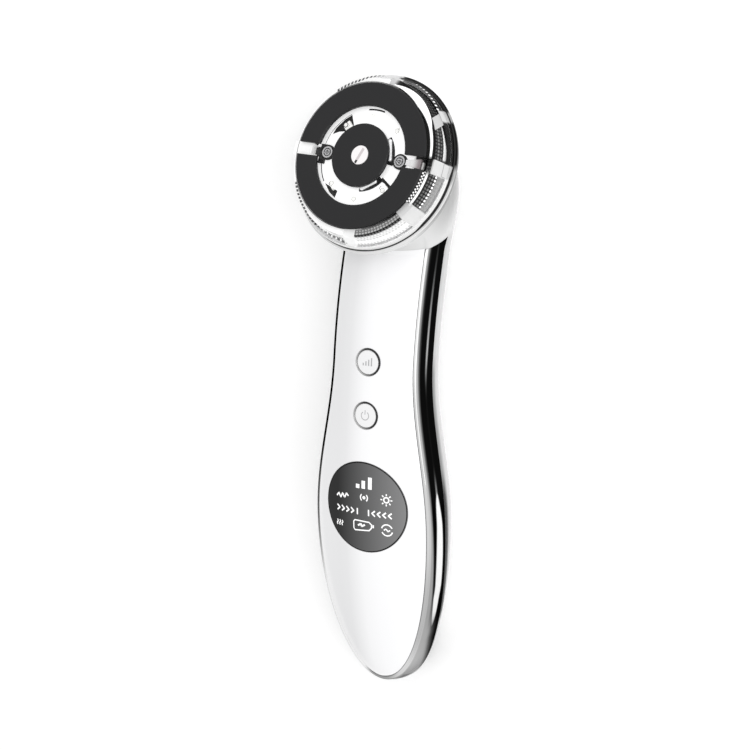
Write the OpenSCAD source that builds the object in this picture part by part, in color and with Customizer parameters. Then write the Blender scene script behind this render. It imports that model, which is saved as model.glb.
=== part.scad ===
// Hand-held facial massager: a slim wand with a round, tilted electrode head, lying on its back.
// X is the width, Y runs from the handle's tip to the head, Z points out of the front.
// The three shells share one lattice of points, so their parting lines always meet.

/* [Handle outline] */
// Distance from the front panel's tip to the centre of the electrode face
head_y = 172.3; // [168:0.1:176]
// Half the front panel's width at the belly
belly_half = 20.1; // [19:0.1:22]
// Half the front panel's width at the waist
waist_half = 14.3; // [13.8:0.1:16]
// Length of the rounded nose, from the tip to the belly
nose_len = 54.5; // [50:0.5:58]
// Length over which the belly narrows to the waist
taper_len = 54; // [48:0.5:60]

/* [Handle profile] */
// Height of the parting line at its highest point
seam_top = 27.7; // [27:0.1:29]
// Distance of that highest point from the tip
seam_top_y = 103.5; // [98:0.5:108]
// Side-view radius of the parting line towards the tip
seam_r_tip = 404; // [380:2:460]
// Side-view radius of the parting line towards the head
seam_r_neck = 190; // [180:2:240]
// Crown of the front panel as a share of its half width
crown = 0.25; // [0.23:0.01:0.28]
// Depth of the trim band, front to back
band_h = 10.2; // [9:0.1:10.4]
// Radius of the band's front shoulder, which is how far it stands proud of the panel
band_shoulder = 1.4; // [1:0.1:1.8]
// Further bulge of the band's flat side
band_bulge = 0.35; // [0.1:0.05:0.6]
// How much further the band's rear edge stands out round the tip
tip_flare = 2; // [1:0.1:2.6]
// Depth of the hollow under the grip when the wand lies down
arch_h = 5; // [4:0.1:5.6]
// Depth by which the round back is cut flat where it rests
rest_flat = 0.35; // [0.2:0.05:0.6]
// Wall of the two shells and of the band
wall = 1.8; // [1.5:0.1:2]

/* [Head] */
// Tilt of the head's axis towards the top end
head_tilt = 15.7; // [14:0.1:17]
// Height of the centre of the electrode face above the resting plane
face_z = 40.8; // [40:0.1:42]
// Outer radius of the head's rim
rim_r = 28; // [27.8:0.1:29]
// Distance of the rim behind the electrode face
rim_depth = 9.8; // [9.6:0.1:10.2]
// Radius of the cup where it meets the neck
cup_r = 22.6; // [22:0.1:23.4]
// Turn of the electrode pattern about the head's own axis
head_turn = -4; // [-8:0.5:8]

/* [Electrodes] */
// Outer radius of the two curved electrodes
electrode_out = 22.6; // [22:0.1:22.8]
// Inner radius of the two curved electrodes
electrode_in = 15.35; // [15:0.05:16]
// Radius of the round centre electrode
center_r = 9.8; // [9:0.1:10.4]
// Radius of the window in the centre electrode
sensor_r = 2.9; // [2.5:0.1:3.2]
// Gap between the two curved electrodes
electrode_gap = 3.9; // [3.6:0.1:4.4]
// Thickness of the electrodes
electrode_t = 1.2; // [1:0.1:1.3]
// How far the electrodes stand proud of the clear cap
electrode_proud = 0.3; // [0.2:0.05:0.4]
// Bevel along the electrodes' edges
electrode_bevel = 0.3; // [0.1:0.05:0.4]

/* [Clear cap] */
// Radius of the cap's front shoulder
cap_shoulder_r = 25.1; // [24.6:0.1:25.4]
// Depth of that shoulder behind the electrode face
cap_shoulder_d = 1.1; // [0.9:0.1:1.4]
// How far the cap's foot stands in from the rim
cap_inset = 1.2; // [1:0.1:1.5]
// Wall of the clear cap
cap_wall = 1.6; // [1.5:0.1:1.8]
// Width of each frosted light block
block_w = 4.3; // [3.6:0.1:5]
// Thickness of each frosted light block
block_t = 1.2; // [0.9:0.1:1.3]

/* [Controls] */
// Distance of the level button from the tip
level_y = 108.1; // [106:0.1:112]
// Distance of the power button from the tip
power_y = 91.1; // [88:0.1:94]
// Radius of the button caps
button_r = 3.85; // [3.6:0.05:4]
// Running clearance of a cap in its ring
button_fit = 0.08; // [0.04:0.01:0.1]
// Width of the ring round each button
ring_w = 0.5; // [0.4:0.05:0.6]
// Travel of each button
button_travel = 0.4; // [0.25:0.05:0.5]
// Distance of the display's centre from the tip
display_y = 61.1; // [59:0.1:64]
// Radius of the display window
display_r = 14.9; // [14:0.1:15.2]
// Thickness of the display window
display_t = 1; // [0.8:0.1:1.2]

/* [Electronics] */
// Height of the main board's upper face above the resting plane
board_top = 21; // [20.6:0.1:21.2]
// Thickness of the circuit boards
board_t = 1.6; // [1.2:0.1:1.6]
// Width of the main board
board_w = 23; // [22.4:0.1:23.4]
// Width of the battery
battery_w = 22; // [20:0.5:23]
// Length of the battery
battery_len = 46; // [42:0.5:47]
// Thickness of the battery
battery_t = 8; // [7:0.1:8.4]
// Radius of the vibration motor's can
motor_r = 5; // [4.6:0.1:5.2]
// Length of the vibration motor's can
motor_len = 20; // [18:0.5:21]
// Radius of the motor's shaft
shaft_r = 1; // [0.8:0.05:1.2]
// Running clearance of the shaft in the motor
shaft_fit = 0.05; // [0.03:0.01:0.1]
// Width of the charging socket
port_w = 8.94; // [8.9:0.02:9]
// Height of the charging socket
port_h = 3.26; // [3.2:0.02:3.3]
// Length of the charging socket
port_len = 7.3; // [6.8:0.1:7.8]

/* [Hidden] */
$fn = 96;
eps = 0.01;
far = 40;

// Gap that fixed pieces keep where they don't touch
gap = 0.3;
// Sliding fit of glued and dropped-in pieces
fit = 0.1;

// Curves of the handle

// A smooth step from 0 to 1
function ease(t) = (1 - cos(180 * min(max(t, 0), 1))) / 2;
// Plan outline past the nose: a cosine taper from the belly to the waist
function side_half(y) = belly_half + (waist_half - belly_half) * ease((y - nose_len) / taper_len);
// Side view of the parting line: one arc to each side of its highest point
function seam_z(y) =
    seam_top - pow(y - seam_top_y, 2) / (2 * (y < seam_top_y ? seam_r_tip : seam_r_neck));
// Side view of the back: down at the belly, hollow under the grip, down again behind the head
rest_tip = nose_len;
rest_head = 158;
function back_z(y) =
    y < rest_tip ? 0 : arch_h * ease(2 * min(y - rest_tip, rest_head - y) / (rest_head - rest_tip));
// Share of its full width that the rounded nose has at y
function nose_share(y) = y < nose_len ? sqrt(1 - pow(1 - max(y, 0) / nose_len, 2)) : 1;
// Heights of the front's ridge and of the floor inside, along the middle
function front_z(y) = seam_z(y) + crown * side_half(y);
function floor_z(y) =
    seam_z(y) - band_h - (seam_z(y) - band_h - back_z(y) + rest_flat) * nose_share(y) + wall;

// The head's own frame: its centre, its axis and the direction up its face
axis = [sin(head_tilt), cos(head_tilt)];
up = [cos(head_tilt), -sin(head_tilt)];
// The neck turns about this corner, which lies in front of the neck and below the rim
neck_y = 142;
neck_fillet = 3.7;
corner = [neck_y, front_z(neck_y) + neck_fillet];
turn_end = 90 - head_tilt;
rim_c = [head_y, face_z] - rim_depth * axis;
rim_fwd = (rim_c - corner) * axis;
rim_up = (rim_c - corner) * up;
cup_foot_gap = 2;

// The origin is under the middle of the whole wand
tip_end = band_shoulder + tip_flare;
top_end = rim_c[0] + rim_r * up[0];
mid_y = (top_end - tip_end) / 2;
module place() translate([0, -mid_y, 0]) children();
module in_head() place() translate([0, head_y, face_z]) rotate([-head_tilt, 0, 0]) children();
module in_pattern() in_head() rotate([0, 0, head_turn]) children();

// Lattice of the shells

n_nose = 12;
n_grip = 16;
n_turn = 12;
n_lip = 4;
n_top = 3;
j_front = 6;
j_band = 6;
j_back = 8;
i_neck = n_nose + n_grip;
i_top = i_neck + n_top;
i_turn = i_neck + n_turn;
i_rim = i_turn + n_lip;
j_rear = j_front + j_band;
j_end = j_rear + j_back;
cols = 2 * j_end;
// Angle that the front's crown spans, and exponent of the back's superellipse
crown_arc = 54;
back_pow = 2 / 2.3;
// Rise of the radius from the neck to the top of the head
turn_pow = 1.6;

function unit(v) = v / norm(v);
// Station i along the handle, inset by e: distance from the tip, half width and outward normal
function nose_a(i) = 90 * i / n_nose;
function st_y(i, e) =
    i <= n_nose ? e + (nose_len - e) * (1 - cos(nose_a(i)))
    : nose_len + (neck_y - nose_len) * (i - n_nose) / n_grip;
function st_w(i, e) = i <= n_nose ? (belly_half - e) * sin(nose_a(i)) : side_half(st_y(i, e)) - e;
function st_n(i, e) =
    i <= n_nose ? unit([(nose_len - e) * sin(nose_a(i)), -(belly_half - e) * cos(nose_a(i))])
    : unit([1, side_half(st_y(i, e) - 0.5) - side_half(st_y(i, e) + 0.5)]);

// Depth and outward step of the band at a share q of its way back: a round shoulder, a flat side
function band_d(q) =
    q < 0.5 ? band_shoulder * (1 - cos(180 * q))
    : band_shoulder + (band_h - band_shoulder) * (2 * q - 1);
function band_out(q) =
    q < 0.5 ? band_shoulder * sin(180 * q) : band_shoulder + band_bulge * sin(180 * (2 * q - 1));
function band_flare(q, ny) = tip_flare * band_d(q) / band_h * max(-ny, 0);

function front_pt(i, q, e) =
    let (w = st_w(i, e), a = crown_arc * q, h = max(crown * (w + e) - e, 0))
    [w * sin(a) / sin(crown_arc), st_y(i, e),
     seam_z(st_y(i, e)) + h * (cos(a) - cos(crown_arc)) / (1 - cos(crown_arc))];
function band_pt(i, q, e) =
    let (n = st_n(i, e), out = band_out(q) + band_flare(q, n[1]))
    [st_w(i, e) + n[0] * out, st_y(i, e) + n[1] * out, seam_z(st_y(i, e)) - band_d(q)];
function back_pt(i, q, e) =
    let (r = band_pt(i, 1,
        e), d = (r[2] - back_z(st_y(i, e)) + rest_flat - e) * (i < n_nose ? sin(nose_a(i)) : 1))
    [r[0] * pow(max(cos(90 * q), 0), back_pow), r[1], max(r[2] - d * pow(sin(90 * q), back_pow), e)];
// Place j runs round half a section: front ridge, parting line, band, rear edge, back
function grip_pt(i, j, e) =
    j <= j_front ? front_pt(i, j / j_front, e)
    : j <= j_rear ? band_pt(i, (j - j_front) / j_band, e)
    : back_pt(i, (j - j_rear) / j_back, e);

// The neck's section turns about the corner, grows and becomes the head's circle
function head_pt(i, j, e) =
    let (p = grip_pt(i_neck, j, e), ridge = grip_pt(i_neck, 0, e)[2], base = grip_pt(i_neck, j_end, e)[2],
         neck_half = grip_pt(i_neck, j_rear, e)[0],
         t = min((i - i_neck) / n_turn, 1), f = max(i - i_turn, 0) / n_lip, a = turn_end * t, m = ease(t),
         r = cup_r + (rim_r - cup_r) * sin(90 * f) - e,
         c = (cup_r + cup_foot_gap) * (1 - f) + rim_up * f,
         r_near = (corner[1] - ridge) * (1 - m) + (c - r) * m,
         low = base + (e - rest_flat - base) * ease(3 * t),
         r_far = (corner[1] - low) * (1 - pow(t, turn_pow)) + (c + r) * pow(t, turn_pow),
         half = neck_half * (1 - m) + r * m,
         u = (ridge - p[2]) / (ridge - base),
         x = p[0] / neck_half * (1 - m) + 2 * sqrt(max(u * (1 - u), 0)) * m,
         reach = r_near + (r_far - r_near) * u)
    [half * x, corner[0] + reach * sin(a) + rim_fwd * f * axis[0],
     max(corner[1] - reach * cos(a) + rim_fwd * f * axis[1], e)];
function shell_pt(i, j, e) = i <= i_neck ? grip_pt(i, j, e) : head_pt(i, j, e);

// A shell between insets e0 and e1 over places j0 to j1 and stations i0 to i1.
// With ring, it closes all round past the handle's top edge.
module lattice(j0, j1, i0, i1, e0, e1, ring = false) {
    function wrap(k) = (k % cols + cols) % cols;
    function fold(k) = k <= j_end ? k : cols - k;
    function point(i, k, e) =
        let (p = shell_pt(i, fold(k), e)) [k <= j_end ? p[0] : -p[0], p[1], p[2]];
    function id(i, k, inner) = ((inner ? i1 - i0 + 1 : 0) + i - i0) * cols + wrap(k);
    function used(i, k) =
        let (j = wrap(k) < j_end ? wrap(k) : cols - 1 - wrap(k))
        i >= i0 && i < i1 && (ring && i >= i_top || j >= j0 && j < j1);
    function quad(a, b, c, d) = [[a, c, b], [a, d, c]];
    function wall_of(i, k, di, dk) =
        quad(id(i, k, false), id(i + di, k + dk, false), id(i + di, k + dk, true), id(i, k, true));
    function back_wall(i, k, di, dk) =
        quad(id(i, k, false), id(i, k, true), id(i + di, k + dk, true), id(i + di, k + dk, false));
    function cell(i, k) = concat(
        quad(id(i, k, false), id(i, k + 1, false), id(i + 1, k + 1, false), id(i + 1, k, false)),
        quad(id(i, k, true), id(i + 1, k, true), id(i + 1, k + 1, true), id(i, k + 1, true)),
        used(i, k - 1) ? [] : wall_of(i, k, 1, 0),
        used(i, k + 1) ? [] : back_wall(i, k + 1, 1, 0),
        i == 0 || used(i - 1, k) ? [] : back_wall(i, k, 0, 1),
        used(i + 1, k) ? [] : wall_of(i + 1, k, 0, 1));
    place() polyhedron(
        [for (e = [e0, e1]) for (i = [i0:i1]) for (k = [0:cols - 1]) point(i, k, e)],
        [for (i = [i0:i1 - 1]) for (k = [0:cols - 1]) if (used(i, k)) each cell(i, k)]);
}

// Shapes that repeat

module tube(r_in, r_out, h) difference() {
    cylinder(r = r_out, h = h);
    translate([0, 0, -eps]) cylinder(r = r_in, h = h + 2 * eps);
}
module slab(w, l, h) translate([-w / 2, -l / 2, 0]) cube([w, l, h]);
// A round-ended slot of width w and height h, running along Z for a length len
module slot(w, h, len) {
    translate([-(w - h) / 2, -h / 2, 0]) cube([w - h, h, len]);
    for (s = [-1, 1]) translate([s * (w - h) / 2, 0, 0]) cylinder(d = h, h = len);
}
// A pan-head screw whose head rests on Z = 0
module screw(r, head_r, head_h, len) {
    translate([0, 0, -len]) cylinder(r = r, h = len);
    difference() {
        cylinder(r = head_r, h = head_h);
        for (a = [0, 90]) rotate(a) translate([0, 0, head_h * 0.6])
            slab(head_r * 1.2, head_r * 0.3, head_h);
    }
}

// Handle shells

ring_out = button_r + button_fit + ring_w;
button_hole = ring_out;
window_hole = display_r + fit;
module front_shell() {
    color("white") difference() {
        lattice(0, j_front, 0, i_top, 0, wall);
        place() for (y = [level_y, power_y]) translate([0, y, seam_top]) cylinder(r = button_hole, h = far);
        place() translate([0, display_y, board_top]) cylinder(r = window_hole, h = far);
    }
}

// Screw posts, ribs and a saddle grow from the rear shell's floor
screw_r = 0.9;
screw_fit = 0.05;
post_r = 2.1;
board_post_x = 8;
board_y = [max(22, seam_top_y - 81.5), 132];
board_post_y = [board_y[0] + 6, board_y[1] - 5];
board_floor = board_top - board_t;
battery_z = 6.6;
battery_y = 56.5;
battery_rib_y = [battery_y - 16, battery_y, battery_y + 16];
battery_rib_w = battery_w - 8;
battery_stop_h = 3;
rib_t = 1.4;
strap_t = 1.2;
strap_l = 8;
strap_post_x = battery_w / 2 + post_r + 1;
strap_z = battery_z + battery_t;
motor_y = 99;
motor_z = 12.4;
saddle_l = 13;
saddle_y = motor_y + motor_len / 2;
saddle_screw_x = motor_r + 2.4;
saddle_w = 2 * (saddle_screw_x + 1.8);
port_board_l = 14;
port_board_w = 12;
port_board_y = 6;
port_z = 9.4;
port_board_top = port_z - port_h / 2;
port_board_floor = port_board_top - board_t;
port_post_x = 4;
port_post_y = 16;
head_post_at = 18;
head_post_a = [0, 60, 120, 180];
head_post_len = [22, 15, 15, 22];
bore_len = 4.6;
port_bore_len = 2.3;

module post(x, y, top) translate([x, y, floor_z(y) - wall / 2])
    cylinder(r = post_r, h = top - floor_z(y) + wall / 2);
module bore(x, y, top, len = bore_len) translate([x, y, top - len])
    cylinder(r = screw_r + screw_fit, h = len + eps);
module rib(y, w, l, top) translate([0, y, floor_z(y) - wall / 2]) slab(w, l, top - floor_z(y) + wall / 2);
module motor_bore(r) translate([0, motor_y - 5, motor_z]) rotate([-90, 0, 0])
    cylinder(r = r, h = motor_len + 10);
module rear_posts() {
    place() {
        for (x = [-board_post_x, board_post_x]) for (y = board_post_y) post(x, y, board_floor);
        for (x = [-port_post_x, port_post_x]) post(x, port_post_y, port_board_floor);
        for (x = [-strap_post_x, strap_post_x]) post(x, battery_y, strap_z);
        for (y = battery_rib_y) rib(y, battery_rib_w, rib_t, battery_z);
        for (s = [-1, 1]) rib(battery_y + s * (battery_len + rib_t) / 2,
            battery_rib_w, rib_t, battery_z + battery_stop_h);
        rib(saddle_y, saddle_w, saddle_l, motor_z);
    }
    in_head() for (n = [0:3]) rotate(head_post_a[n])
        translate([head_post_at, 0, frame_back - head_post_len[n]])
            cylinder(r = post_r, h = head_post_len[n]);
}
module rear_shell() {
    color("white") difference() {
        union() {
            lattice(j_rear, j_end, 0, i_rim, 0, wall, true);
            difference() {
                rear_posts();
                lattice(j_rear + 2, j_end, 3, i_neck, -6, wall / 2);
                lattice(j_rear, j_end, i_turn - 7, i_turn + 1, -6, wall / 2);
            }
        }
        place() {
            for (x = [-board_post_x, board_post_x]) for (y = board_post_y) bore(x, y, board_floor);
            for (x = [-port_post_x, port_post_x]) bore(x, port_post_y, port_board_floor, port_bore_len);
            for (x = [-strap_post_x, strap_post_x]) bore(x, battery_y, strap_z);
            for (x = [-saddle_screw_x, saddle_screw_x]) bore(x, saddle_y, motor_z, motor_z - 8.5);
            motor_bore(motor_r);
        }
        in_head() for (a = head_post_a) rotate(a)
            translate([head_post_at, 0, frame_back - bore_len])
                cylinder(r = screw_r + screw_fit, h = bore_len + eps);
    }
}

module trim_band() {
    color("silver") difference() {
        lattice(j_front, j_rear, 0, i_top, 0, wall);
        place() translate([0, -far / 2, port_z]) rotate([-90, 0, 0])
            slot(port_w + 2 * gap, port_h + 2 * gap, far / 2 + 5);
    }
}

// Display, under a window that follows the front's crown

i_window = [8, i_neck - 7];
module above_inset(e) lattice(0, j_front, i_window[0], i_window[1], -5, e);
module display_window() {
    color([0.12, 0.12, 0.13]) intersection() {
        lattice(0, j_front, i_window[0], i_window[1], 0, display_t);
        place() translate([0, display_y, board_top]) cylinder(r = display_r, h = far);
    }
}
frame_wall = 1.3;
module display_frame() {
    color([0.1, 0.1, 0.1]) difference() {
        place() translate([0, display_y, board_top]) tube(display_r - frame_wall, display_r, 9);
        above_inset(display_t + eps);
    }
}
panel_t = 1.2;
panel_z = board_top + 2;
module display_panel() {
    color([0.75, 0.78, 0.8]) place() translate([0, display_y, 0]) {
        translate([0, 0, panel_z]) cylinder(r = display_r - frame_wall - fit, h = panel_t);
        for (a = [45:90:315]) rotate(a) translate([display_r - frame_wall - 2, 0, board_top])
            cylinder(r = 0.9, h = panel_z - board_top);
    }
}

// Buttons: each cap slides in its ring and presses the plunger of a switch on the board

cap_proud = 0.15;
flange_r = ring_out + 0.7;
flange_t = 0.6;
ring_depth = 2.9;
switch_w = 6;
switch_h = 3.6;
plunger_r = 1.75;
plunger_h = 1.6;
switch_top = board_top + switch_h;
module at_button(y) place() translate([0, y, 0]) children();
module button(y) at_button(y) {
    top = front_z(y) + cap_proud;
    flange_top = front_z(y) - ring_depth - gap;
    intersection() {
        translate([0, 0, flange_top - flange_t]) cylinder(r = button_r, h = top - flange_top + flange_t);
        translate([0, 0, top - far]) sphere(r = far, $fn = 200);
    }
    translate([0, 0, flange_top - flange_t]) cylinder(r = flange_r - 0.2, h = flange_t);
    translate([0, 0, switch_top + plunger_h])
        cylinder(r = plunger_r, h = flange_top - switch_top - plunger_h);
}
module button_ring(y) at_button(y) {
    ring_top = front_z(y) + cap_proud / 2;
    translate([0, 0, front_z(y) - ring_depth])
        tube(button_r + button_fit, ring_out, ring_top - front_z(y) + ring_depth);
    translate([0, 0, front_z(y) - ring_depth]) tube(button_r + button_fit, flange_r, flange_t);
}
module plunger(y) at_button(y) translate([0, 0, switch_top - 1.2])
    cylinder(r = plunger_r, h = plunger_h + 1.2);
module level_button() color("white") button(level_y);
module power_button() color("white") button(power_y);
module level_ring() color("gray") button_ring(level_y);
module power_ring() color("gray") button_ring(power_y);
module level_plunger() color("black") plunger(level_y);
module power_plunger() color("black") plunger(power_y);
module switch_bodies() {
    color([0.2, 0.2, 0.2]) for (y = [level_y, power_y]) at_button(y) difference() {
        translate([0, 0, board_top]) slab(switch_w, switch_w, switch_h);
        translate([0, 0, switch_top - 2]) cylinder(r = plunger_r + fit, h = 2 + eps);
    }
}

// Main board and what it carries

module main_board() {
    color("darkgreen") place() difference() {
        translate([0, 0, board_floor]) union() {
            translate([-board_w / 2, board_y[0] + board_w / 2, 0])
                cube([board_w, board_y[1] - board_y[0] - board_w / 2, board_t]);
            translate([0, board_y[0] + board_w / 2, 0]) cylinder(d = board_w, h = board_t);
        }
        for (x = [-board_post_x, board_post_x]) for (y = board_post_y)
            translate([x, y, board_floor - eps]) cylinder(r = screw_r + fit, h = board_t + 2 * eps);
    }
}
module board_screws() {
    color("silver") place() for (x = [-board_post_x, board_post_x]) for (y = board_post_y)
        translate([x, y, board_top]) screw(screw_r, 1.7, 1, 6);
}
chip_h = 1.2;
chip_x = board_w / 5;
chip_w = 6;
driver_h = 0.9;
driver_w = 3.6;
module chip(x, y, w, l, h) translate([x, y, board_floor - h]) slab(w, l, h);
module control_chips() {
    color([0.15, 0.15, 0.16]) place() {
        chip(-chip_x, power_y - chip_w - 1, chip_w, chip_w, chip_h);
        chip(chip_x, power_y - chip_w - 1, chip_w - 1, chip_w - 1, chip_h);
        chip(chip_x, level_y + 2.5 * driver_w, driver_w, driver_w - 1, driver_h);
        for (n = [2, 3]) chip(-chip_x, level_y + n * driver_w, driver_w, driver_w / 2, driver_h);
    }
}
coil_y = power_y;
module rf_transformer() {
    color([0.25, 0.2, 0.15]) place() translate([0, coil_y, board_floor]) {
        translate([0, 0, -1.2]) cylinder(r = 4, h = 1.2);
        translate([0, 0, -5]) cylinder(r = 2.6, h = 3.8 + eps);
        translate([0, 0, -6.2]) cylinder(r = 4, h = 1.2);
    }
}

// Battery on its ribs, held by a strap

module battery() {
    color("royalblue") place() translate([0, battery_y, battery_z]) {
        slab(battery_w - 2, battery_len, battery_t);
        for (s = [-1, 1]) intersection() {
            translate([s * (battery_w / 2 - battery_t / 2), battery_len / 2, battery_t / 2])
                rotate([90, 0, 0]) cylinder(d = battery_t, h = battery_len);
            slab(battery_w, battery_len, battery_t);
        }
    }
}
module battery_strap() {
    color([0.85, 0.85, 0.85]) place() translate([0, battery_y, strap_z]) difference() {
        union() {
            slab(2 * strap_post_x, strap_l, strap_t);
            for (x = [-strap_post_x, strap_post_x]) translate([x, 0, 0]) cylinder(d = strap_l, h = strap_t);
        }
        for (x = [-strap_post_x, strap_post_x]) translate([x, 0, -eps])
            cylinder(r = screw_r + fit, h = strap_t + 2 * eps);
    }
}
module strap_screws() {
    color("silver") place() for (x = [-strap_post_x, strap_post_x])
        translate([x, battery_y, strap_z + strap_t]) screw(screw_r, 1.7, 1, 5);
}

// Vibration motor with its off-centre weight

shaft_out = 9;
weight_r = 4.4;
weight_l = 6;
module along_motor(y) place() translate([0, y, motor_z]) rotate([-90, 0, 0]) children();
module motor_can() {
    color("silver") along_motor(motor_y) difference() {
        cylinder(r = motor_r, h = motor_len);
        translate([0, 0, motor_len - 5]) cylinder(r = shaft_r + shaft_fit, h = 5 + eps);
    }
}
module motor_shaft() {
    color("lightgray") along_motor(motor_y + motor_len - 4.5) cylinder(r = shaft_r, h = 4.5 + shaft_out);
}
module eccentric_weight() {
    color([0.45, 0.45, 0.48]) along_motor(motor_y + motor_len + shaft_out - weight_l) difference() {
        union() {
            intersection() {
                cylinder(r = weight_r, h = weight_l);
                translate([-weight_r, 0, 0]) cube([2 * weight_r, weight_r, weight_l]);
            }
            cylinder(r = shaft_r + 1.1, h = weight_l);
        }
        translate([0, 0, -eps]) cylinder(r = shaft_r, h = weight_l + 2 * eps);
    }
}
motor_cap_wall = 1;
motor_cap_l = saddle_l - 3;
motor_ear_t = 1.6;
module motor_cap() {
    color([0.8, 0.8, 0.8]) place() difference() {
        translate([0, saddle_y, motor_z]) {
            slab(saddle_w, motor_cap_l, motor_ear_t);
            rotate([90, 0, 0]) translate([0, 0, -motor_cap_l / 2]) intersection() {
                cylinder(r = motor_r + motor_cap_wall, h = motor_cap_l);
                translate([-far, 0, 0]) cube([2 * far, far, far]);
            }
        }
        motor_bore(motor_r);
        for (x = [-saddle_screw_x, saddle_screw_x]) translate([x, saddle_y, motor_z - eps])
            cylinder(r = screw_r + fit, h = motor_ear_t + 2 * eps);
    }
}
module motor_screws() {
    color("silver") place() for (x = [-saddle_screw_x, saddle_screw_x])
        translate([x, saddle_y, motor_z + motor_ear_t]) screw(screw_r, 1.4, 0.9, 5);
}

// Charging socket in the tip

port_out = 1;
module in_port() place() translate([0, -port_out, port_z]) rotate([-90, 0, 0]) children();
port_shell_t = 0.3;
port_depth = port_len - 0.8;
tongue_in = 1.4;
tongue_w = 6.7;
tongue_t = 0.7;
module charging_port() {
    color("silver") in_port() difference() {
        slot(port_w, port_h, port_len);
        translate([0, 0, -eps])
            slot(port_w - 2 * port_shell_t, port_h - 2 * port_shell_t, port_depth + eps);
    }
}
module port_tongue() {
    color("black") in_port() translate([-tongue_w / 2, -tongue_t / 2, tongue_in])
        cube([tongue_w, tongue_t, port_depth - tongue_in]);
}
module port_board() {
    color("darkgreen") place() difference() {
        translate([0, port_board_y + port_board_l / 2, port_board_floor])
            slab(port_board_w, port_board_l, board_t);
        for (x = [-port_post_x, port_post_x]) translate([x, port_post_y, port_board_floor - eps])
            cylinder(r = screw_r + fit, h = board_t + 2 * eps);
    }
}
module port_screws() {
    color("silver") place() for (x = [-port_post_x, port_post_x])
        translate([x, port_post_y, port_board_top]) screw(screw_r, 1.6, 0.9, 3.6);
}

// Head: heights in the head's frame, counted down from the electrode face

cap_front = -electrode_proud;
cap_inside = cap_front - cap_wall;
cap_foot_r = rim_r - cap_inset;
cap_side = cap_wall / 2;
collar_top = -7.9;
collar_r = rim_r - 0.9;
collar_in = cap_foot_r - cap_side + fit;
seal_t = 0.4;
frame_back = -rim_depth + seal_t;
plate_t = 1.2;
plate_top = frame_back + plate_t;
led_board_top = -5;
led_board_t = 1.2;
led_board_r = 20.3;
led_at = 13;
led_a = [45, 90, 135, 225, 270, 315];
head_screw_a = [0, 180];
reflector_top = -3;
reflector_t = 0.8;
reflector_r = 17.5;
pin_at = 19;
pin_a = [60, 120, 240, 300];
center_pin_at = 6.5;
center_pin_a = [90, 270];
pin_r = 1;
pin_end = cap_inside - 0.6;
block_a = [0, 33, 84, 180, 276, 327];
prism_in = led_board_r + 0.4;
prism_wall_gap = block_t + 0.2;
function cap_in_r(z) =
    let (top = cap_shoulder_r - cap_side, foot = cap_foot_r - cap_side)
    top + (foot - top) * (cap_inside - z) / (cap_inside - collar_top);

module at_pins() {
    for (a = pin_a) rotate(a) translate([pin_at, 0, 0]) children();
    for (a = center_pin_a) rotate(a) translate([center_pin_at, 0, 0]) children();
}
module clear_cap() {
    recess = -electrode_t;
    color([0.9, 0.95, 1, 0.35]) in_pattern() difference() {
        rotate_extrude() polygon([
            [0, cap_front], [electrode_out + fit, cap_front], [cap_shoulder_r - 0.5, -cap_shoulder_d + 0.4],
            [cap_shoulder_r, -cap_shoulder_d], [cap_foot_r, collar_top],
            [cap_foot_r - cap_side, collar_top], [cap_in_r(cap_inside), cap_inside], [0, cap_inside]]);
        translate([0, 0, recess]) cylinder(r = center_r + fit, h = electrode_t);
        for (s = [0, 180]) rotate(s) translate([0, 0, recess]) electrode_blank(fit, electrode_t);
        translate([0, 0, cap_inside - eps]) at_pins() cylinder(r = pin_r + fit, h = cap_wall);
    }
}
// Half a ring, cut straight along the gap, grown by g all round
module electrode_blank(g, h) intersection() {
    tube(electrode_in - g, electrode_out + g, h);
    translate([-far, electrode_gap / 2 - g, 0]) cube([2 * far, far, h]);
}
module curved_electrode() {
    difference() {
        rotate_extrude() polygon([
            [electrode_in, -electrode_t], [electrode_out, -electrode_t], [electrode_out, -electrode_bevel],
            [electrode_out - electrode_bevel, 0],
                [electrode_in + electrode_bevel, 0], [electrode_in, -electrode_bevel]]);
        translate([-far, -far, -far]) cube([2 * far, far + electrode_gap / 2, 2 * far]);
        translate([-far, electrode_gap / 2, -electrode_bevel]) rotate([-45, 0, 0])
            translate([0, -electrode_bevel, 0]) cube([2 * far, electrode_bevel, 2 * electrode_bevel]);
    }
}
stud_a = [pin_a[0], pin_a[1]];
module studs(list, at) for (a = list) rotate(a) translate([at, 0, pin_end])
    cylinder(r = pin_r, h = -electrode_t - pin_end + eps);
module upper_electrode() {
    color([0.2, 0.2, 0.2]) in_pattern() {
        curved_electrode();
        studs(stud_a, pin_at);
    }
}
module lower_electrode() {
    color([0.2, 0.2, 0.2]) in_pattern() rotate(180) {
        curved_electrode();
        studs(stud_a, pin_at);
    }
}
module center_electrode() {
    color([0.2, 0.2, 0.2]) in_pattern() {
        rotate_extrude() polygon([
            [sensor_r + fit, -electrode_t], [center_r, -electrode_t], [center_r, -electrode_bevel],
            [center_r - electrode_bevel, 0],
                [sensor_r + fit + electrode_bevel, 0], [sensor_r + fit, -electrode_bevel]]);
        studs(center_pin_a, center_pin_at);
    }
}
module sensor_lens() {
    color([0.95, 0.95, 0.95, 0.6]) in_pattern() translate([0, 0, -electrode_t])
        cylinder(r = sensor_r, h = electrode_t - 0.2);
}
module contact_pins() {
    color("gold") in_pattern() translate([0, 0, led_board_top]) at_pins() {
        cylinder(r = pin_r, h = (pin_end - led_board_top) * 0.6);
        cylinder(r = pin_r * 0.6, h = pin_end - led_board_top);
    }
}
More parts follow.
